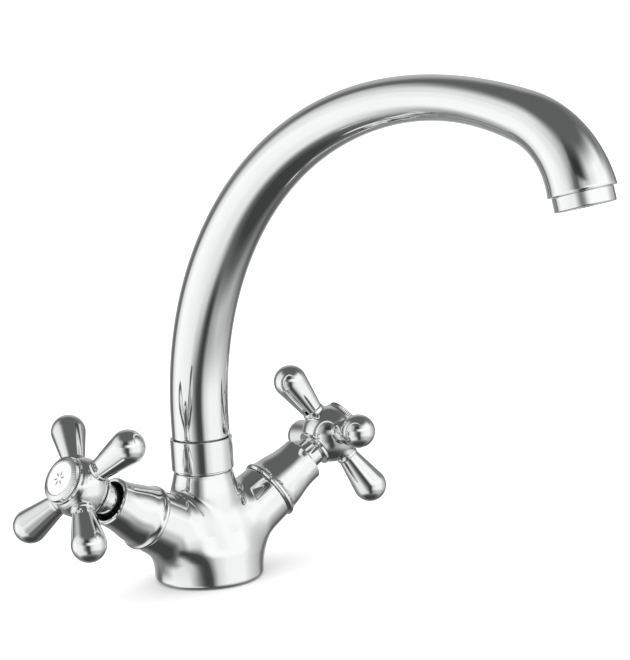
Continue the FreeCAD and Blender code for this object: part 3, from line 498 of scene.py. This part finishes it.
def body_distance(points):
    """Signed distance, in millimetres, to the cast body's skin."""
    x, y, z = points[..., 0], points[..., 1], points[..., 2]
    radius = np.hypot(x, y)
    outer, above, below = (np.interp(z + rise, REVOLVE_HEIGHTS, REVOLVE_RADII) for rise in (0.0, 0.5, -0.5))
    slope = above - below
    skin = (radius - outer) / np.sqrt(1.0 + slope * slope)
    arms = []
    width = np.interp(z, ARM_BLEND_HEIGHTS, ARM_BLEND_WIDTHS)
    for side in (-1, 1):
        arm_radius, station = arm_coordinates(points, side)
        blank = np.where(
            station < ARM_ROOT,
            np.sqrt(arm_radius ** 2 + (ARM_ROOT - station) ** 2) - ARM_ROOT_RADIUS,
            (arm_radius - ARM_ROOT_RADIUS + (station - ARM_ROOT) * ARM_NARROWING / ARM_TAPER_LENGTH)
            * ARM_TAPER_COSINE,
        )
        skin = blend_min(skin, blank, width)
        arms.append((arm_radius, station))
    skin = blend_max(skin, z - NECK_TOP, NECK_EDGE_BLEND)
    skin = blend_max(skin, -z, FOOT_EDGE_BLEND)
    for _, station in arms:
        skin = blend_max(skin, station - ARM_END, ARM_EDGE_BLEND)
    thread = np.maximum(radius - NECK_THREAD_RADIUS, np.abs(z - NECK_THREAD_MIDDLE) - NECK_THREAD_HALF_LENGTH)
    skin = np.minimum(skin, thread)
    holes = [np.maximum(radius - CHAMBER_RADIUS, CHAMBER_BOTTOM - z)]
    for side, (arm_radius, station) in zip((-1, 1), arms):
        holes.append(np.maximum(arm_radius - VALVE_BORE_RADIUS, VALVE_SEAT - station))
        holes.append(np.maximum(arm_radius - SEAT_PORT_RADIUS, SEAT_PORT_END - station))
        inlet = np.hypot(x - side * INLET_OFFSET, y)
        holes.append(np.maximum(inlet - INLET_THREAD_RADIUS, z - INLET_THREAD_DEPTH))
        holes.append(np.maximum(inlet - INLET_WATER_RADIUS, z - INLET_WATER_DEPTH))
    holes.append(np.maximum(np.hypot(x, y - STUD_HOLE_OFFSET) - STUD_HOLE_RADIUS, z - STUD_HOLE_DEPTH))
    groove = np.abs(radius - GASKET_GROOVE_RADIUS) - GASKET_GROOVE_HALF_WIDTH
    holes.append(np.maximum(groove, z - GASKET_GROOVE_DEPTH))
    for hole in holes:
        skin = np.maximum(skin, -hole)
    return skin


def gradient(points, step=0.04):
    parts = []
    for axis in range(3):
        shift = np.zeros(3)
        shift[axis] = step
        parts.append(body_distance(points + shift) - body_distance(points - shift))
    vectors = np.stack(parts, -1)
    return vectors / np.maximum(np.linalg.norm(vectors, axis=-1, keepdims=True), 1e-9)


def surface_net(distance, low, high, cell):
    """A quad skin on the zero level of a distance function."""
    axes = [np.arange(low[k], high[k] + cell, cell) for k in range(3)]
    grid = np.stack(np.meshgrid(*axes, indexing="ij"), -1)
    values = np.concatenate([distance(slab) for slab in np.array_split(grid, 8)], 0)
    inside = values < 0
    shape = tuple(size - 1 for size in values.shape)
    total = np.zeros(shape + (3,))
    hits = np.zeros(shape)
    corners = [(i, j, k) for i in (0, 1) for j in (0, 1) for k in (0, 1)]
    for a in corners:
        for axis in range(3):
            if a[axis] == 1:
                continue
            b = tuple(v + (1 if n == axis else 0) for n, v in enumerate(a))
            va = values[a[0]:a[0] + shape[0], a[1]:a[1] + shape[1], a[2]:a[2] + shape[2]]
            vb = values[b[0]:b[0] + shape[0], b[1]:b[1] + shape[1], b[2]:b[2] + shape[2]]
            crossing = (va < 0) != (vb < 0)
            share = np.where(crossing, va / np.where(va == vb, 1.0, va - vb), 0.0)
            place = np.stack([np.full(shape, float(v)) for v in a], -1)
            place[..., axis] += share
            total += place * crossing[..., None]
            hits += crossing
    active = hits > 0
    index = np.full(shape, -1)
    index[active] = np.arange(active.sum())
    cells = np.argwhere(active)
    points = (cells + total[active] / hits[active][:, None]) * cell + np.array(low)
    faces = []
    for axis in range(3):
        first, second = [n for n in range(3) if n != axis]
        low_corner = [slice(1, -1)] * 3
        low_corner[axis] = slice(0, -1)
        high_corner = list(low_corner)
        high_corner[axis] = slice(1, None)
        here, there = inside[tuple(low_corner)], inside[tuple(high_corner)]
        for start, flip in ((here & ~there, False), (~here & there, True)):
            spots = np.argwhere(start)
            spots[:, first] += 1
            spots[:, second] += 1
            ring = []
            for da, db in ((0, 0), (-1, 0), (-1, -1), (0, -1)):
                spot = spots.copy()
                spot[:, first] += da
                spot[:, second] += db
                ring.append(index[spot[:, 0], spot[:, 1], spot[:, 2]])
            quads = np.stack(ring, 1)
            if flip != (axis == 1):
                quads = quads[:, ::-1]
            faces.append(quads)
    return points, np.concatenate(faces)


def make_body():
    points, faces = surface_net(body_distance, BODY_LOW, BODY_HIGH, BODY_CELL)
    for _ in range(SETTLING_STEPS):
        points = points - body_distance(points)[:, None] * gradient(points) * SETTLING_SHARE
    normals = gradient(points)
    points[:, 2] = np.maximum(points[:, 2], 0.0)
    corners = normals[faces.reshape(-1)]
    body = mesh_piece("cast_body", points * MM, faces.tolist(), corners, "tap_body", CHROME)
    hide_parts("body")


# ---------------------------------------------------------------- the spout

SPOUT_STATIONS = 320
SPOUT_SEGMENTS = 112
SPOUT_SHARP_ANGLE = 35.0
SPOUT_LIP = 0.35
# The tube's foot is turned down where it enters the collar, and swells from there in a quarter circle
FOOT_NECK_RADIUS = 12.6
FOOT_NECK_LENGTH = 2.6
FOOT_SWELL_STEPS = 6
# The bore in the tube's mouth that the aerator screws into
AERATOR_BORE_RADIUS = 11.02
AERATOR_BORE_CHAMFER = 0.25
AERATOR_BORE_DEPTH = 9.0
AERATOR_BORE_STEP = 0.3


def spout_place(distance):
    reach, height, lean = 0.0, TUBE_BOTTOM, 0.0
    left = distance
    for straight, bend in SPOUT_STRETCHES:
        if bend is None:
            run = min(left, straight)
            height += run
        else:
            radius, angle = bend
            run = min(left, radius * math.radians(angle))
            turn = run / radius
            reach += radius * (math.cos(lean) - math.cos(lean + turn))
            height += radius * (math.sin(lean + turn) - math.sin(lean))
            lean += turn
        left -= run
    return reach, height, lean


def spout_length():
    return sum(
        straight if bend is None else bend[0] * math.radians(bend[1]) for straight, bend in SPOUT_STRETCHES
    )


SPOUT_RADIUS_CURVE = smooth_curve(
    [(share, diameter / 2 / SPOUT_UNIT) for share, diameter in SPOUT_DIAMETERS], count=900,
) * (1, SPOUT_UNIT)


def spout_radius(share):
    return float(np.interp(share, SPOUT_RADIUS_CURVE[:, 0], SPOUT_RADIUS_CURVE[:, 1]))


def spout_matrix(distance):
    """Frame of a section: +Z along the flow, the section in X and Y."""
    reach, height, lean = spout_place(distance)
    out = Vector((math.sin(SPOUT_TURN), -math.cos(SPOUT_TURN), 0))
    side = Vector((math.cos(SPOUT_TURN), math.sin(SPOUT_TURN), 0))
    along = out * math.sin(lean) + Vector((0, 0, math.cos(lean)))
    origin = out * reach + Vector((0, 0, height))
    return frame_matrix(side, along.cross(side), along, origin)


def spout_profile():
    """Distance along the tube and radius, once round the wall: up the outside and back down the bore."""
    length = spout_length()
    rings = [(share * length, spout_radius(share)) for share in np.linspace(0.0, 1.0, SPOUT_STATIONS)]
    lip = SPOUT_LIP
    path = [(0.0, FOOT_NECK_RADIUS - lip), (lip, FOOT_NECK_RADIUS), (FOOT_NECK_LENGTH, FOOT_NECK_RADIUS)]
    swell = spout_radius(0.0) - FOOT_NECK_RADIUS
    for step in range(1, FOOT_SWELL_STEPS + 1):
        angle = step * math.pi / (2 * FOOT_SWELL_STEPS)
        along, outwards = swell * (1 - math.cos(angle)), swell * math.sin(angle)
        path.append((FOOT_NECK_LENGTH + along, FOOT_NECK_RADIUS + outwards))
    path += [ring for ring in rings if FOOT_NECK_LENGTH + swell < ring[0] < length - lip]
    end = spout_radius(1.0)
    path += [(length - lip, end), (length - lip * 0.3, end - lip * 0.3), (length, end - lip)]
    bore, chamfer, bottom = AERATOR_BORE_RADIUS, AERATOR_BORE_CHAMFER, length - AERATOR_BORE_DEPTH
    path += [(length, bore + chamfer), (length - chamfer, bore), (bottom, bore)]
    inner_end = bottom - AERATOR_BORE_STEP
    inner = [(distance, radius - SPOUT_WALL) for distance, radius in rings if distance < inner_end]
    return path + [(bottom, inner[-1][1])] + inner[::-1]


def make_spout():
    path = spout_profile()
    segments = SPOUT_SEGMENTS
    vertices = []
    angles = np.linspace(0, 2 * math.pi, segments, endpoint=False)
    for distance, radius in path:
        matrix = spout_matrix(distance)
        for angle in angles:
            vertices.append((matrix @ Vector((radius * math.cos(angle), radius * math.sin(angle), 0))) * MM)
    faces = []
    count = len(path)
    for index in range(count):
        other = (index + 1) % count
        for step in range(segments):
            following = (step + 1) % segments
            faces.append((
                index * segments + step, index * segments + following,
                other * segments + following, other * segments + step,
            ))
    piece = mesh_piece("swan_tube", vertices, faces, None, "spout", CHROME)
    sharpen(piece, SPOUT_SHARP_ANGLE)
    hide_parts("spout_tube")


# ---------------------------------------------------------------- collar, aerator, sleeves

COLLAR_RADIUS = 14.2
COLLAR_BOTTOM = 49.8
COLLAR_TOP = 65.2
COLLAR_THREAD_RADIUS = 12.05
COLLAR_THREAD_TOP = 60.1
COLLAR_LIP_RADIUS = 9.8
COLLAR_LIP_TOP = 62.5
COLLAR_MOUTH_RADIUS = 13.32

AERATOR_RADIUS = 12.0
AERATOR_END = 5.9
AERATOR_THREAD_RADIUS = 11.0
AERATOR_THREAD_START = -7.0
AERATOR_BORE = 9.8
AERATOR_LIP_RADIUS = 8.9
AERATOR_LIP_START = 5.1


def make_collar():
    items = [
        (COLLAR_THREAD_RADIUS, COLLAR_BOTTOM, 0.2), (13.1, COLLAR_BOTTOM, 0.3), (13.15, 50.55, 0.25),
        (COLLAR_RADIUS, 50.75, 0.35), (COLLAR_RADIUS, COLLAR_TOP, 0.4),
        (COLLAR_MOUTH_RADIUS, COLLAR_TOP, 0.2), (COLLAR_MOUTH_RADIUS, COLLAR_LIP_TOP),
        (COLLAR_LIP_RADIUS, COLLAR_LIP_TOP), (COLLAR_LIP_RADIUS, COLLAR_THREAD_TOP),
        (COLLAR_THREAD_RADIUS, COLLAR_THREAD_TOP),
    ]
    piece = lathe("collar_nut", items, Matrix.Identity(4), "tap_body", CHROME, 144)
    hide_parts("spout_collar")


def make_aerator():
    mouth = spout_matrix(spout_length())
    items = [
        (AERATOR_BORE, AERATOR_THREAD_START, 0.2), (AERATOR_THREAD_RADIUS, AERATOR_THREAD_START, 0.3),
        (AERATOR_THREAD_RADIUS, 0.1), (11.75, 0.1, 0.15), (AERATOR_RADIUS, 0.5, 0.2),
        (AERATOR_RADIUS, AERATOR_END, 0.45), (AERATOR_LIP_RADIUS, AERATOR_END, 0.25),
        (AERATOR_LIP_RADIUS, AERATOR_LIP_START, 0.1), (AERATOR_BORE, AERATOR_LIP_START),
    ]
    piece = lathe("aerator_sleeve", items, mouth, "spout", CHROME, 128)
    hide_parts("aerator_housing")


SLEEVE_SEAT_GAP = 0.1
SLEEVE_WAIST = ((14.5, 41.2), (13.25, 45.5), (11.5, 54.0), (11.0, 61.0))
SLEEVE_FLARE_SLOPE = (-0.8, 1)
SLEEVE_MOUTH = 62.5
SLEEVE_MOUTH_RADIUS = 11.0
SLEEVE_SKIRT_RADIUS = 11.6
SLEEVE_SKIRT_TOP = 46.0
SLEEVE_BORE_RADIUS = 8.45
# The sleeve's faces inside this radius are its bore, given a near-black material as painted shade inside the
# mouth
BORE_LIMIT = 9.1


def sleeve_items():
    start = ARM_END + SLEEVE_SEAT_GAP
    waist = smooth_curve(SLEEVE_WAIST, SLEEVE_FLARE_SLOPE, (0, 1))
    return [
        (SLEEVE_SKIRT_RADIUS, start, 0.2), (14.2, start, 0.5), (15.05, 39.6, 0.7), (14.95, 40.6, 0.7), waist,
        (SLEEVE_MOUTH_RADIUS, SLEEVE_MOUTH, 0.9), (9.3, SLEEVE_MOUTH, 0.35), (8.9, 61.6, 0.3),
        (SLEEVE_BORE_RADIUS, 57.0), (SLEEVE_BORE_RADIUS, 50.0), (SLEEVE_SKIRT_RADIUS, SLEEVE_SKIRT_TOP),
    ]


def make_sleeve(name, matrix):
    piece = lathe(name + "_flared_sleeve", sleeve_items(), matrix, "tap_body", CHROME, 128)
    # The bore's faces get the near-black material: painted shade inside the sleeve's mouth
    piece.data.materials.append(SHADE)
    inwards = matrix.inverted()
    for polygon in piece.data.polygons:
        place = inwards @ (polygon.center / MM)
        if math.hypot(place.x, place.y) < BORE_LIMIT:
            polygon.material_index = 1
    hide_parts(name + "_sleeve")


# ---------------------------------------------------------------- cross handles

HUB_BALL_RADIUS = 13.4
HUB_BALL_BACK = 71.0
HUB_BALL_SHOULDER = 86.2
HUB_BALL_COUNT = 40
HUB_NECK_RADIUS = 7.0
HUB_NECK_START = 58.3
HUB_UNDERCUT_RADIUS = 6.3
HUB_UNDERCUT_END = 69.3
HUB_BACK_RADIUS = 9.0
HUB_FRONT = 89.3
HUB_FRONT_RADIUS = 10.9
HUB_CAP_SEAT = 87.3
HUB_CAP_BORE_RADIUS = 8.5
HUB_WEB_BACK = 82.3
HUB_WEB_FRONT = 84.9
SPINDLE_BORE_RADIUS = 4.02
SCREW_HOLE_RADIUS = 2.1

# A handle's arm, with distances from the valve's axis
DROP_COUNT = 4
DROP_BALL_RADIUS = 7.8
DROP_BALL_OFFSET = 31.6
DROP_BALL_COUNT = 36
DROP_ROOT_RADIUS = 4.95
DROP_ROOT_OFFSET = 14.4
DROP_TENON_RADIUS = 2.5
DROP_TENON_OFFSET = 8.0
DROP_RING_OFFSET = 12.0

CAP_RADIUS = 10.35
CAP_FOOT_RADIUS = 8.4
CAP_FLOOR = 91.3
KNURL_DEPTH = 0.3
KNURL_TEETH = 72
KNURL_LOW = 89.6
KNURL_HIGH = 91.62
KNURL_INNER_RADIUS = 10.0

DISC_RADIUS = 7.7
DISC_TOP = 92.1

# The printed rosette: one leaf as distances along and across, and the print's lower and upper face
LEAF_OUTLINE = ((0.9, 0.0), (2.1, 0.42), (3.5, 0.0), (2.1, -0.42))
LEAF_COUNT = 6
LEAF_TURN = 0.35
PRINT_HEIGHTS = (92.105, 92.135)


def hub_items():
    ball, centre = HUB_BALL_RADIUS, HANDLE_STATION
    ends = [
        math.atan2(station - centre, math.sqrt(ball ** 2 - (station - centre) ** 2))
        for station in (HUB_BALL_BACK, HUB_BALL_SHOULDER)
    ]
    angles = np.linspace(*ends, HUB_BALL_COUNT)
    belly = np.stack([ball * np.cos(angles), centre + ball * np.sin(angles)], 1)
    return [
        (SPINDLE_BORE_RADIUS, HUB_NECK_START, 0.2), (HUB_NECK_RADIUS, HUB_NECK_START, 0.4),
        (HUB_NECK_RADIUS, 68.5, 0.3), (HUB_UNDERCUT_RADIUS, 68.7, 0.1),
        (HUB_UNDERCUT_RADIUS, HUB_UNDERCUT_END, 0.1), (HUB_BACK_RADIUS, HUB_UNDERCUT_END, 0.4),
        (HUB_BACK_RADIUS, 70.6, 0.1), belly, (11.6, HUB_CAP_SEAT, 0.35),
        (HUB_FRONT_RADIUS, 88.2, 0.3), (HUB_FRONT_RADIUS, HUB_FRONT, 0.2),
        (HUB_CAP_BORE_RADIUS, HUB_FRONT), (HUB_CAP_BORE_RADIUS, HUB_CAP_SEAT),
        (SCREW_HOLE_RADIUS, HUB_WEB_FRONT), (SCREW_HOLE_RADIUS, HUB_WEB_BACK),
        (SPINDLE_BORE_RADIUS, HUB_WEB_BACK),
    ]


def arm_items():
    radius, offset = DROP_BALL_RADIUS, DROP_BALL_OFFSET
    lean = math.asin((radius - DROP_ROOT_RADIUS) / (offset - DROP_ROOT_OFFSET))
    angles = np.linspace(-lean, math.pi / 2, DROP_BALL_COUNT)
    dome = np.stack([radius * np.cos(angles), offset + radius * np.sin(angles)], 1)
    dome[-1, 0] = 0.0
    return [
        (0.0, DROP_TENON_OFFSET), (DROP_TENON_RADIUS, DROP_TENON_OFFSET, 0.2),
        (DROP_TENON_RADIUS, DROP_RING_OFFSET), (5.1, DROP_RING_OFFSET, 0.35),
        (5.35, 12.8, 0.3), (5.3, 13.9, 0.35), (DROP_ROOT_RADIUS, DROP_ROOT_OFFSET, 0.3), dome,
    ]


def knurl(place, angle):
    """How far the cap's rim is cut in at a place of its profile and an angle round it."""
    if place[0] < KNURL_INNER_RADIUS or not KNURL_LOW <= place[1] <= KNURL_HIGH:
        return 0.0
    share = angle * KNURL_TEETH / (2 * math.pi) % 1.0
    return -KNURL_DEPTH * (1.0 - abs(2.0 * share - 1.0))


def cap_items():
    return [
        (0.0, 89.45), (4.2, 89.45), (4.2, 87.45), (CAP_FOOT_RADIUS, 87.45), (CAP_FOOT_RADIUS, 89.4, 0.1),
        (9.9, 89.4, 0.2), (CAP_RADIUS, 89.75, 0.15), (CAP_RADIUS, 91.4, 0.2), (8.05, 92.15, 0.15),
        (7.85, 92.0, 0.1), (7.8, CAP_FLOOR), (0.0, CAP_FLOOR),
    ]


def disc_items():
    return [
        (0.0, CAP_FLOOR), (DISC_RADIUS, CAP_FLOOR), (DISC_RADIUS, 91.95, 0.2),
        (7.4, DISC_TOP, 0.2), (0.0, DISC_TOP),
    ]


def make_mark(name, matrix):
    """A plain rosette of six thin leaves, printed on the disc."""
    vertices, faces = [], []
    for leaf in range(LEAF_COUNT):
        angle = leaf * 2 * math.pi / LEAF_COUNT + LEAF_TURN
        first = len(vertices)
        for height in PRINT_HEIGHTS:
            for along, across in LEAF_OUTLINE:
                vertices.append((matrix @ Vector((
                    along * math.cos(angle) - across * math.sin(angle),
                    along * math.sin(angle) + across * math.cos(angle), height,
                ))) * MM)
        faces.append((first + 3, first + 2, first + 1, first))
        faces.append((first + 4, first + 5, first + 6, first + 7))
        for step in range(4):
            other = (step + 1) % 4
            faces.append((first + step, first + other, first + 4 + other, first + 4 + step))
    mark = mesh_piece(name + "_index_rosette", vertices, faces, None, name + "_handle", INK)
    for polygon in mark.data.polygons:
        polygon.use_smooth = False


def make_handle(name, matrix):
    body = name + "_handle"
    hub = lathe(name + "_turned_hub", hub_items(), matrix, body, CHROME, 128)
    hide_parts(name + "_hub")
    for index in range(DROP_COUNT):
        place = matrix @ radial_frame(HANDLE_TURN[name] + index * 360.0 / DROP_COUNT)
        arm = lathe("%s_drop_arm_%d" % (name, index + 1), arm_items(), place, body, CHROME, 96, closed=False)
        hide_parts("%s_arm_%d" % (name, index + 1))
    cap = lathe(
        name + "_knurled_cap", cap_items(), matrix, body, CHROME, 4 * KNURL_TEETH, closed=False, wobble=knurl,
    )
    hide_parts(name + "_cap")
    disc = lathe(name + "_enamel_disc", disc_items(), matrix, body, ENAMEL, 96, closed=False)
    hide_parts(name + "_index_disc")
    make_mark(name, matrix)


# ---------------------------------------------------------------- studio

# The floor in metres, and the overhead light with its spread and tilt in degrees
FLOOR_HALF_SIZE = 6.0
FLOOR_DROP = 0.0004
FLOOR_COLOUR = (0.93, 0.93, 0.93, 1.0)
OVERHEAD_ENERGY = 1.9
OVERHEAD_SPREAD = 140.0
OVERHEAD_TILT = (12.0, -8.0)


def camera_rotation():
    azimuth, elevation, roll = (math.radians(v) for v in (VIEW_AZIMUTH, VIEW_ELEVATION, VIEW_ROLL))
    back = Vector((
        math.sin(azimuth) * math.cos(elevation), -math.cos(azimuth) * math.cos(elevation), math.sin(elevation),
    ))
    level = Vector((math.cos(azimuth), math.sin(azimuth), 0.0))
    upright = level.cross(-back)
    right = level * math.cos(roll) + upright * math.sin(roll)
    up = upright * math.cos(roll) - level * math.sin(roll)
    return Matrix((right, up, back)).transposed()


def make_camera():
    data = bpy.data.cameras.new("camera")
    data.sensor_fit = "HORIZONTAL"
    data.sensor_width = SENSOR_WIDTH
    data.lens = FOCAL_PIXELS * SENSOR_WIDTH / IMAGE_WIDTH
    data.shift_x = (IMAGE_WIDTH / 2 - PRINCIPAL_X) / IMAGE_WIDTH
    data.shift_y = (PRINCIPAL_Y - IMAGE_HEIGHT / 2) / IMAGE_WIDTH
    data.clip_start = 0.01
    data.clip_end = 50.0
    camera = bpy.data.objects.new("camera", data)
    matrix = camera_rotation().to_4x4()
    matrix.translation = VIEW_PLACE
    camera.matrix_world = matrix
    bpy.context.scene.collection.objects.link(camera)
    bpy.context.scene.camera = camera


def make_floor():
    mesh = bpy.data.meshes.new("floor")
    half = FLOOR_HALF_SIZE
    corners = [(-half, -half, 0), (half, -half, 0), (half, half, 0), (-half, half, 0)]
    mesh.from_pydata(corners, [], [(0, 1, 2, 3)])
    floor = bpy.data.objects.new("floor", mesh)
    floor.location.z = -FLOOR_DROP
    material, _, _, shader = new_material("pale_floor")
    shader.inputs["Base Color"].default_value = FLOOR_COLOUR
    shader.inputs["Roughness"].default_value = 0.9
    shader.inputs["Specular IOR Level"].default_value = 0.1
    mesh.materials.append(material)
    bpy.context.scene.collection.objects.link(floor)
    floor.visible_glossy = False


# Brightness round the room by bearing from the camera, in degrees, positive to the camera's right.
# Each row is one height: low, level with the part, raised, and high.
WALLS_LOW = (
    (-180, 0.25), (-120, 0.22), (-100, 0.5), (-80, 0.85), (-40, 0.8), (-20, 0.6), (-8, 0.16), (2, 0.04),
    (12, 0.07), (25, 0.33), (60, 0.55), (100, 0.45), (142, 0.1), (155, 0.12), (180, 0.2),
)
WALLS_LEVEL = (
    (-180, 0.55), (-160, 0.4), (-138, 0.13), (-126, 0.15), (-118, 0.7), (-100, 1.0), (-40, 0.85), (-28, 0.5),
    (-19, 0.25), (-10, 0.09), (-3, 0.05), (8, 0.06), (14, 0.3), (22, 0.68), (42, 0.93), (80, 0.93), (100, 0.68),
    (130, 0.42), (142, 0.16), (150, 0.14), (165, 0.4), (180, 0.55),
)
WALLS_RAISED = (
    (-180, 0.5), (-155, 0.33), (-138, 0.14), (-128, 0.25), (-115, 0.75), (-90, 0.9), (-55, 0.75), (-40, 0.45),
    (-30, 0.15), (-19, 0.1), (-12, 0.3), (-4, 0.5), (4, 0.85), (14, 1.0), (90, 1.0), (108, 0.6), (125, 0.27),
    (148, 0.2), (165, 0.4), (180, 0.5),
)
WALLS_HIGH = (
    (-180, 0.45), (-160, 0.38), (-146, 0.15), (-132, 0.12), (-120, 0.55), (-100, 0.75), (-75, 0.8), (-50, 0.58),
    (-34, 0.35), (-24, 0.06), (-15, 0.035), (-2, 0.035), (6, 0.1), (16, 0.37), (28, 0.75), (60, 1.0), (92, 0.9),
    (106, 0.4), (118, 0.17), (150, 0.17), (165, 0.35), (180, 0.45),
)
WALLS = (WALLS_LOW, WALLS_LEVEL, WALLS_RAISED, WALLS_HIGH)
# Fades between the rows, into the roof and into the ground, by the sine of the elevation
WALL_FADES = ((-0.62, -0.32), (0.04, 0.26), (0.36, 0.47))
ROOF_FADE = (0.55, 0.86)
ROOF_GREY = 0.115
GROUND_FADE = (0.68, 0.88)
GROUND_GREY = ((0.0, 0.16), (0.82, 0.16), (0.9, 0.10), (0.95, 0.05), (1.0, 0.05))
STUDIO_STRENGTH = 1.13


def grey_ramp(nodes, links, source, stops):
    return ramp(nodes, links, source, tuple((place, grey(value)) for place, value in stops)).outputs["Color"]


def bearing_ramp(nodes, links, source, walls):
    return grey_ramp(nodes, links, source, tuple(((angle + 180) / 360, value) for angle, value in walls))


def math_node(nodes, links, operation, *values):
    node = nodes.new("ShaderNodeMath")
    node.operation = operation
    for socket, value in zip(node.inputs, values):
        if isinstance(value, float):
            socket.default_value = value
        else:
            links.new(value, socket)
    return node.outputs["Value"]


def blend_colours(nodes, links, factor, first, second):
    node = nodes.new("ShaderNodeMix")
    node.data_type = "RGBA"
    links.new(factor, node.inputs["Factor"])
    for socket, value in ((node.inputs["A"], first), (node.inputs["B"], second)):
        if isinstance(value, float):
            socket.default_value = (*grey(value), 1.0)
        else:
            links.new(value, socket)
    return node.outputs["Result"]


def smooth_step(nodes, links, source, low, high):
    node = nodes.new("ShaderNodeMapRange")
    node.interpolation_type = "SMOOTHSTEP"
    node.inputs["From Min"].default_value = low
    node.inputs["From Max"].default_value = high
    links.new(source, node.inputs["Value"])
    return node.outputs["Result"]


def make_world():
    """A white studio, with darker gaps between its soft lights that the chrome picks up."""
    world = bpy.data.worlds.new("studio")
    bpy.context.scene.world = world
    world.use_nodes = True
    nodes, links = world.node_tree.nodes, world.node_tree.links
    nodes.clear()
    place = nodes.new("ShaderNodeTexCoord")
    turn = nodes.new("ShaderNodeVectorRotate")
    turn.rotation_type = "Z_AXIS"
    turn.inputs["Angle"].default_value = -math.radians(VIEW_AZIMUTH)
    split = nodes.new("ShaderNodeSeparateXYZ")
    links.new(place.outputs["Generated"], turn.inputs["Vector"])
    links.new(turn.outputs["Vector"], split.inputs["Vector"])
    nearness = math_node(nodes, links, "MULTIPLY", split.outputs["Y"], -1.0)
    bearing = math_node(nodes, links, "ARCTAN2", split.outputs["X"], nearness)
    share = math_node(nodes, links, "MULTIPLY_ADD", bearing, 0.5 / math.pi, 0.5)
    height = split.outputs["Z"]
    depth = math_node(nodes, links, "MULTIPLY", height, -1.0)
    room = bearing_ramp(nodes, links, share, WALLS[0])
    for walls, fade in zip(WALLS[1:], WALL_FADES):
        above = bearing_ramp(nodes, links, share, walls)
        room = blend_colours(nodes, links, smooth_step(nodes, links, height, *fade), room, above)
    room = blend_colours(nodes, links, smooth_step(nodes, links, height, *ROOF_FADE), room, ROOF_GREY)
    ground = grey_ramp(nodes, links, depth, GROUND_GREY)
    room = blend_colours(nodes, links, smooth_step(nodes, links, depth, *GROUND_FADE), room, ground)
    studio = nodes.new("ShaderNodeBackground")
    links.new(room, studio.inputs["Color"])
    studio.inputs["Strength"].default_value = STUDIO_STRENGTH
    plain = nodes.new("ShaderNodeBackground")
    plain.inputs["Color"].default_value = (*grey(1.0), 1.0)
    path = nodes.new("ShaderNodeLightPath")
    mix = nodes.new("ShaderNodeMixShader")
    # The camera and matt surfaces see a plain white room: only reflections show the darker gaps
    camera_ray, diffuse_ray = path.outputs["Is Camera Ray"], path.outputs["Is Diffuse Ray"]
    unreflected = math_node(nodes, links, "MAXIMUM", camera_ray, diffuse_ray)
    links.new(unreflected, mix.inputs["Fac"])
    links.new(studio.outputs["Background"], mix.inputs[1])
    links.new(plain.outputs["Background"], mix.inputs[2])
    out = nodes.new("ShaderNodeOutputWorld")
    links.new(mix.outputs["Shader"], out.inputs["Surface"])


def make_light():
    """One very soft light from overhead, left out of the chrome's reflections."""
    data = bpy.data.lights.new("overhead", "SUN")
    data.energy = OVERHEAD_ENERGY
    data.angle = math.radians(OVERHEAD_SPREAD)
    light = bpy.data.objects.new("overhead", data)
    light.rotation_euler = (*(math.radians(tilt) for tilt in OVERHEAD_TILT), 0.0)
    light.visible_glossy = False
    bpy.context.scene.collection.objects.link(light)


dress_cad_nodes()
make_body()
make_spout()
make_collar()
make_aerator()
for side_name, side_sign in SIDES.items():
    side_matrix = arm_frame(side_sign)
    make_sleeve(side_name, side_matrix)
    make_handle(side_name, side_matrix)
make_camera()
make_floor()
make_world()
make_light()
bpy.context.scene.view_settings.view_transform = "Standard"
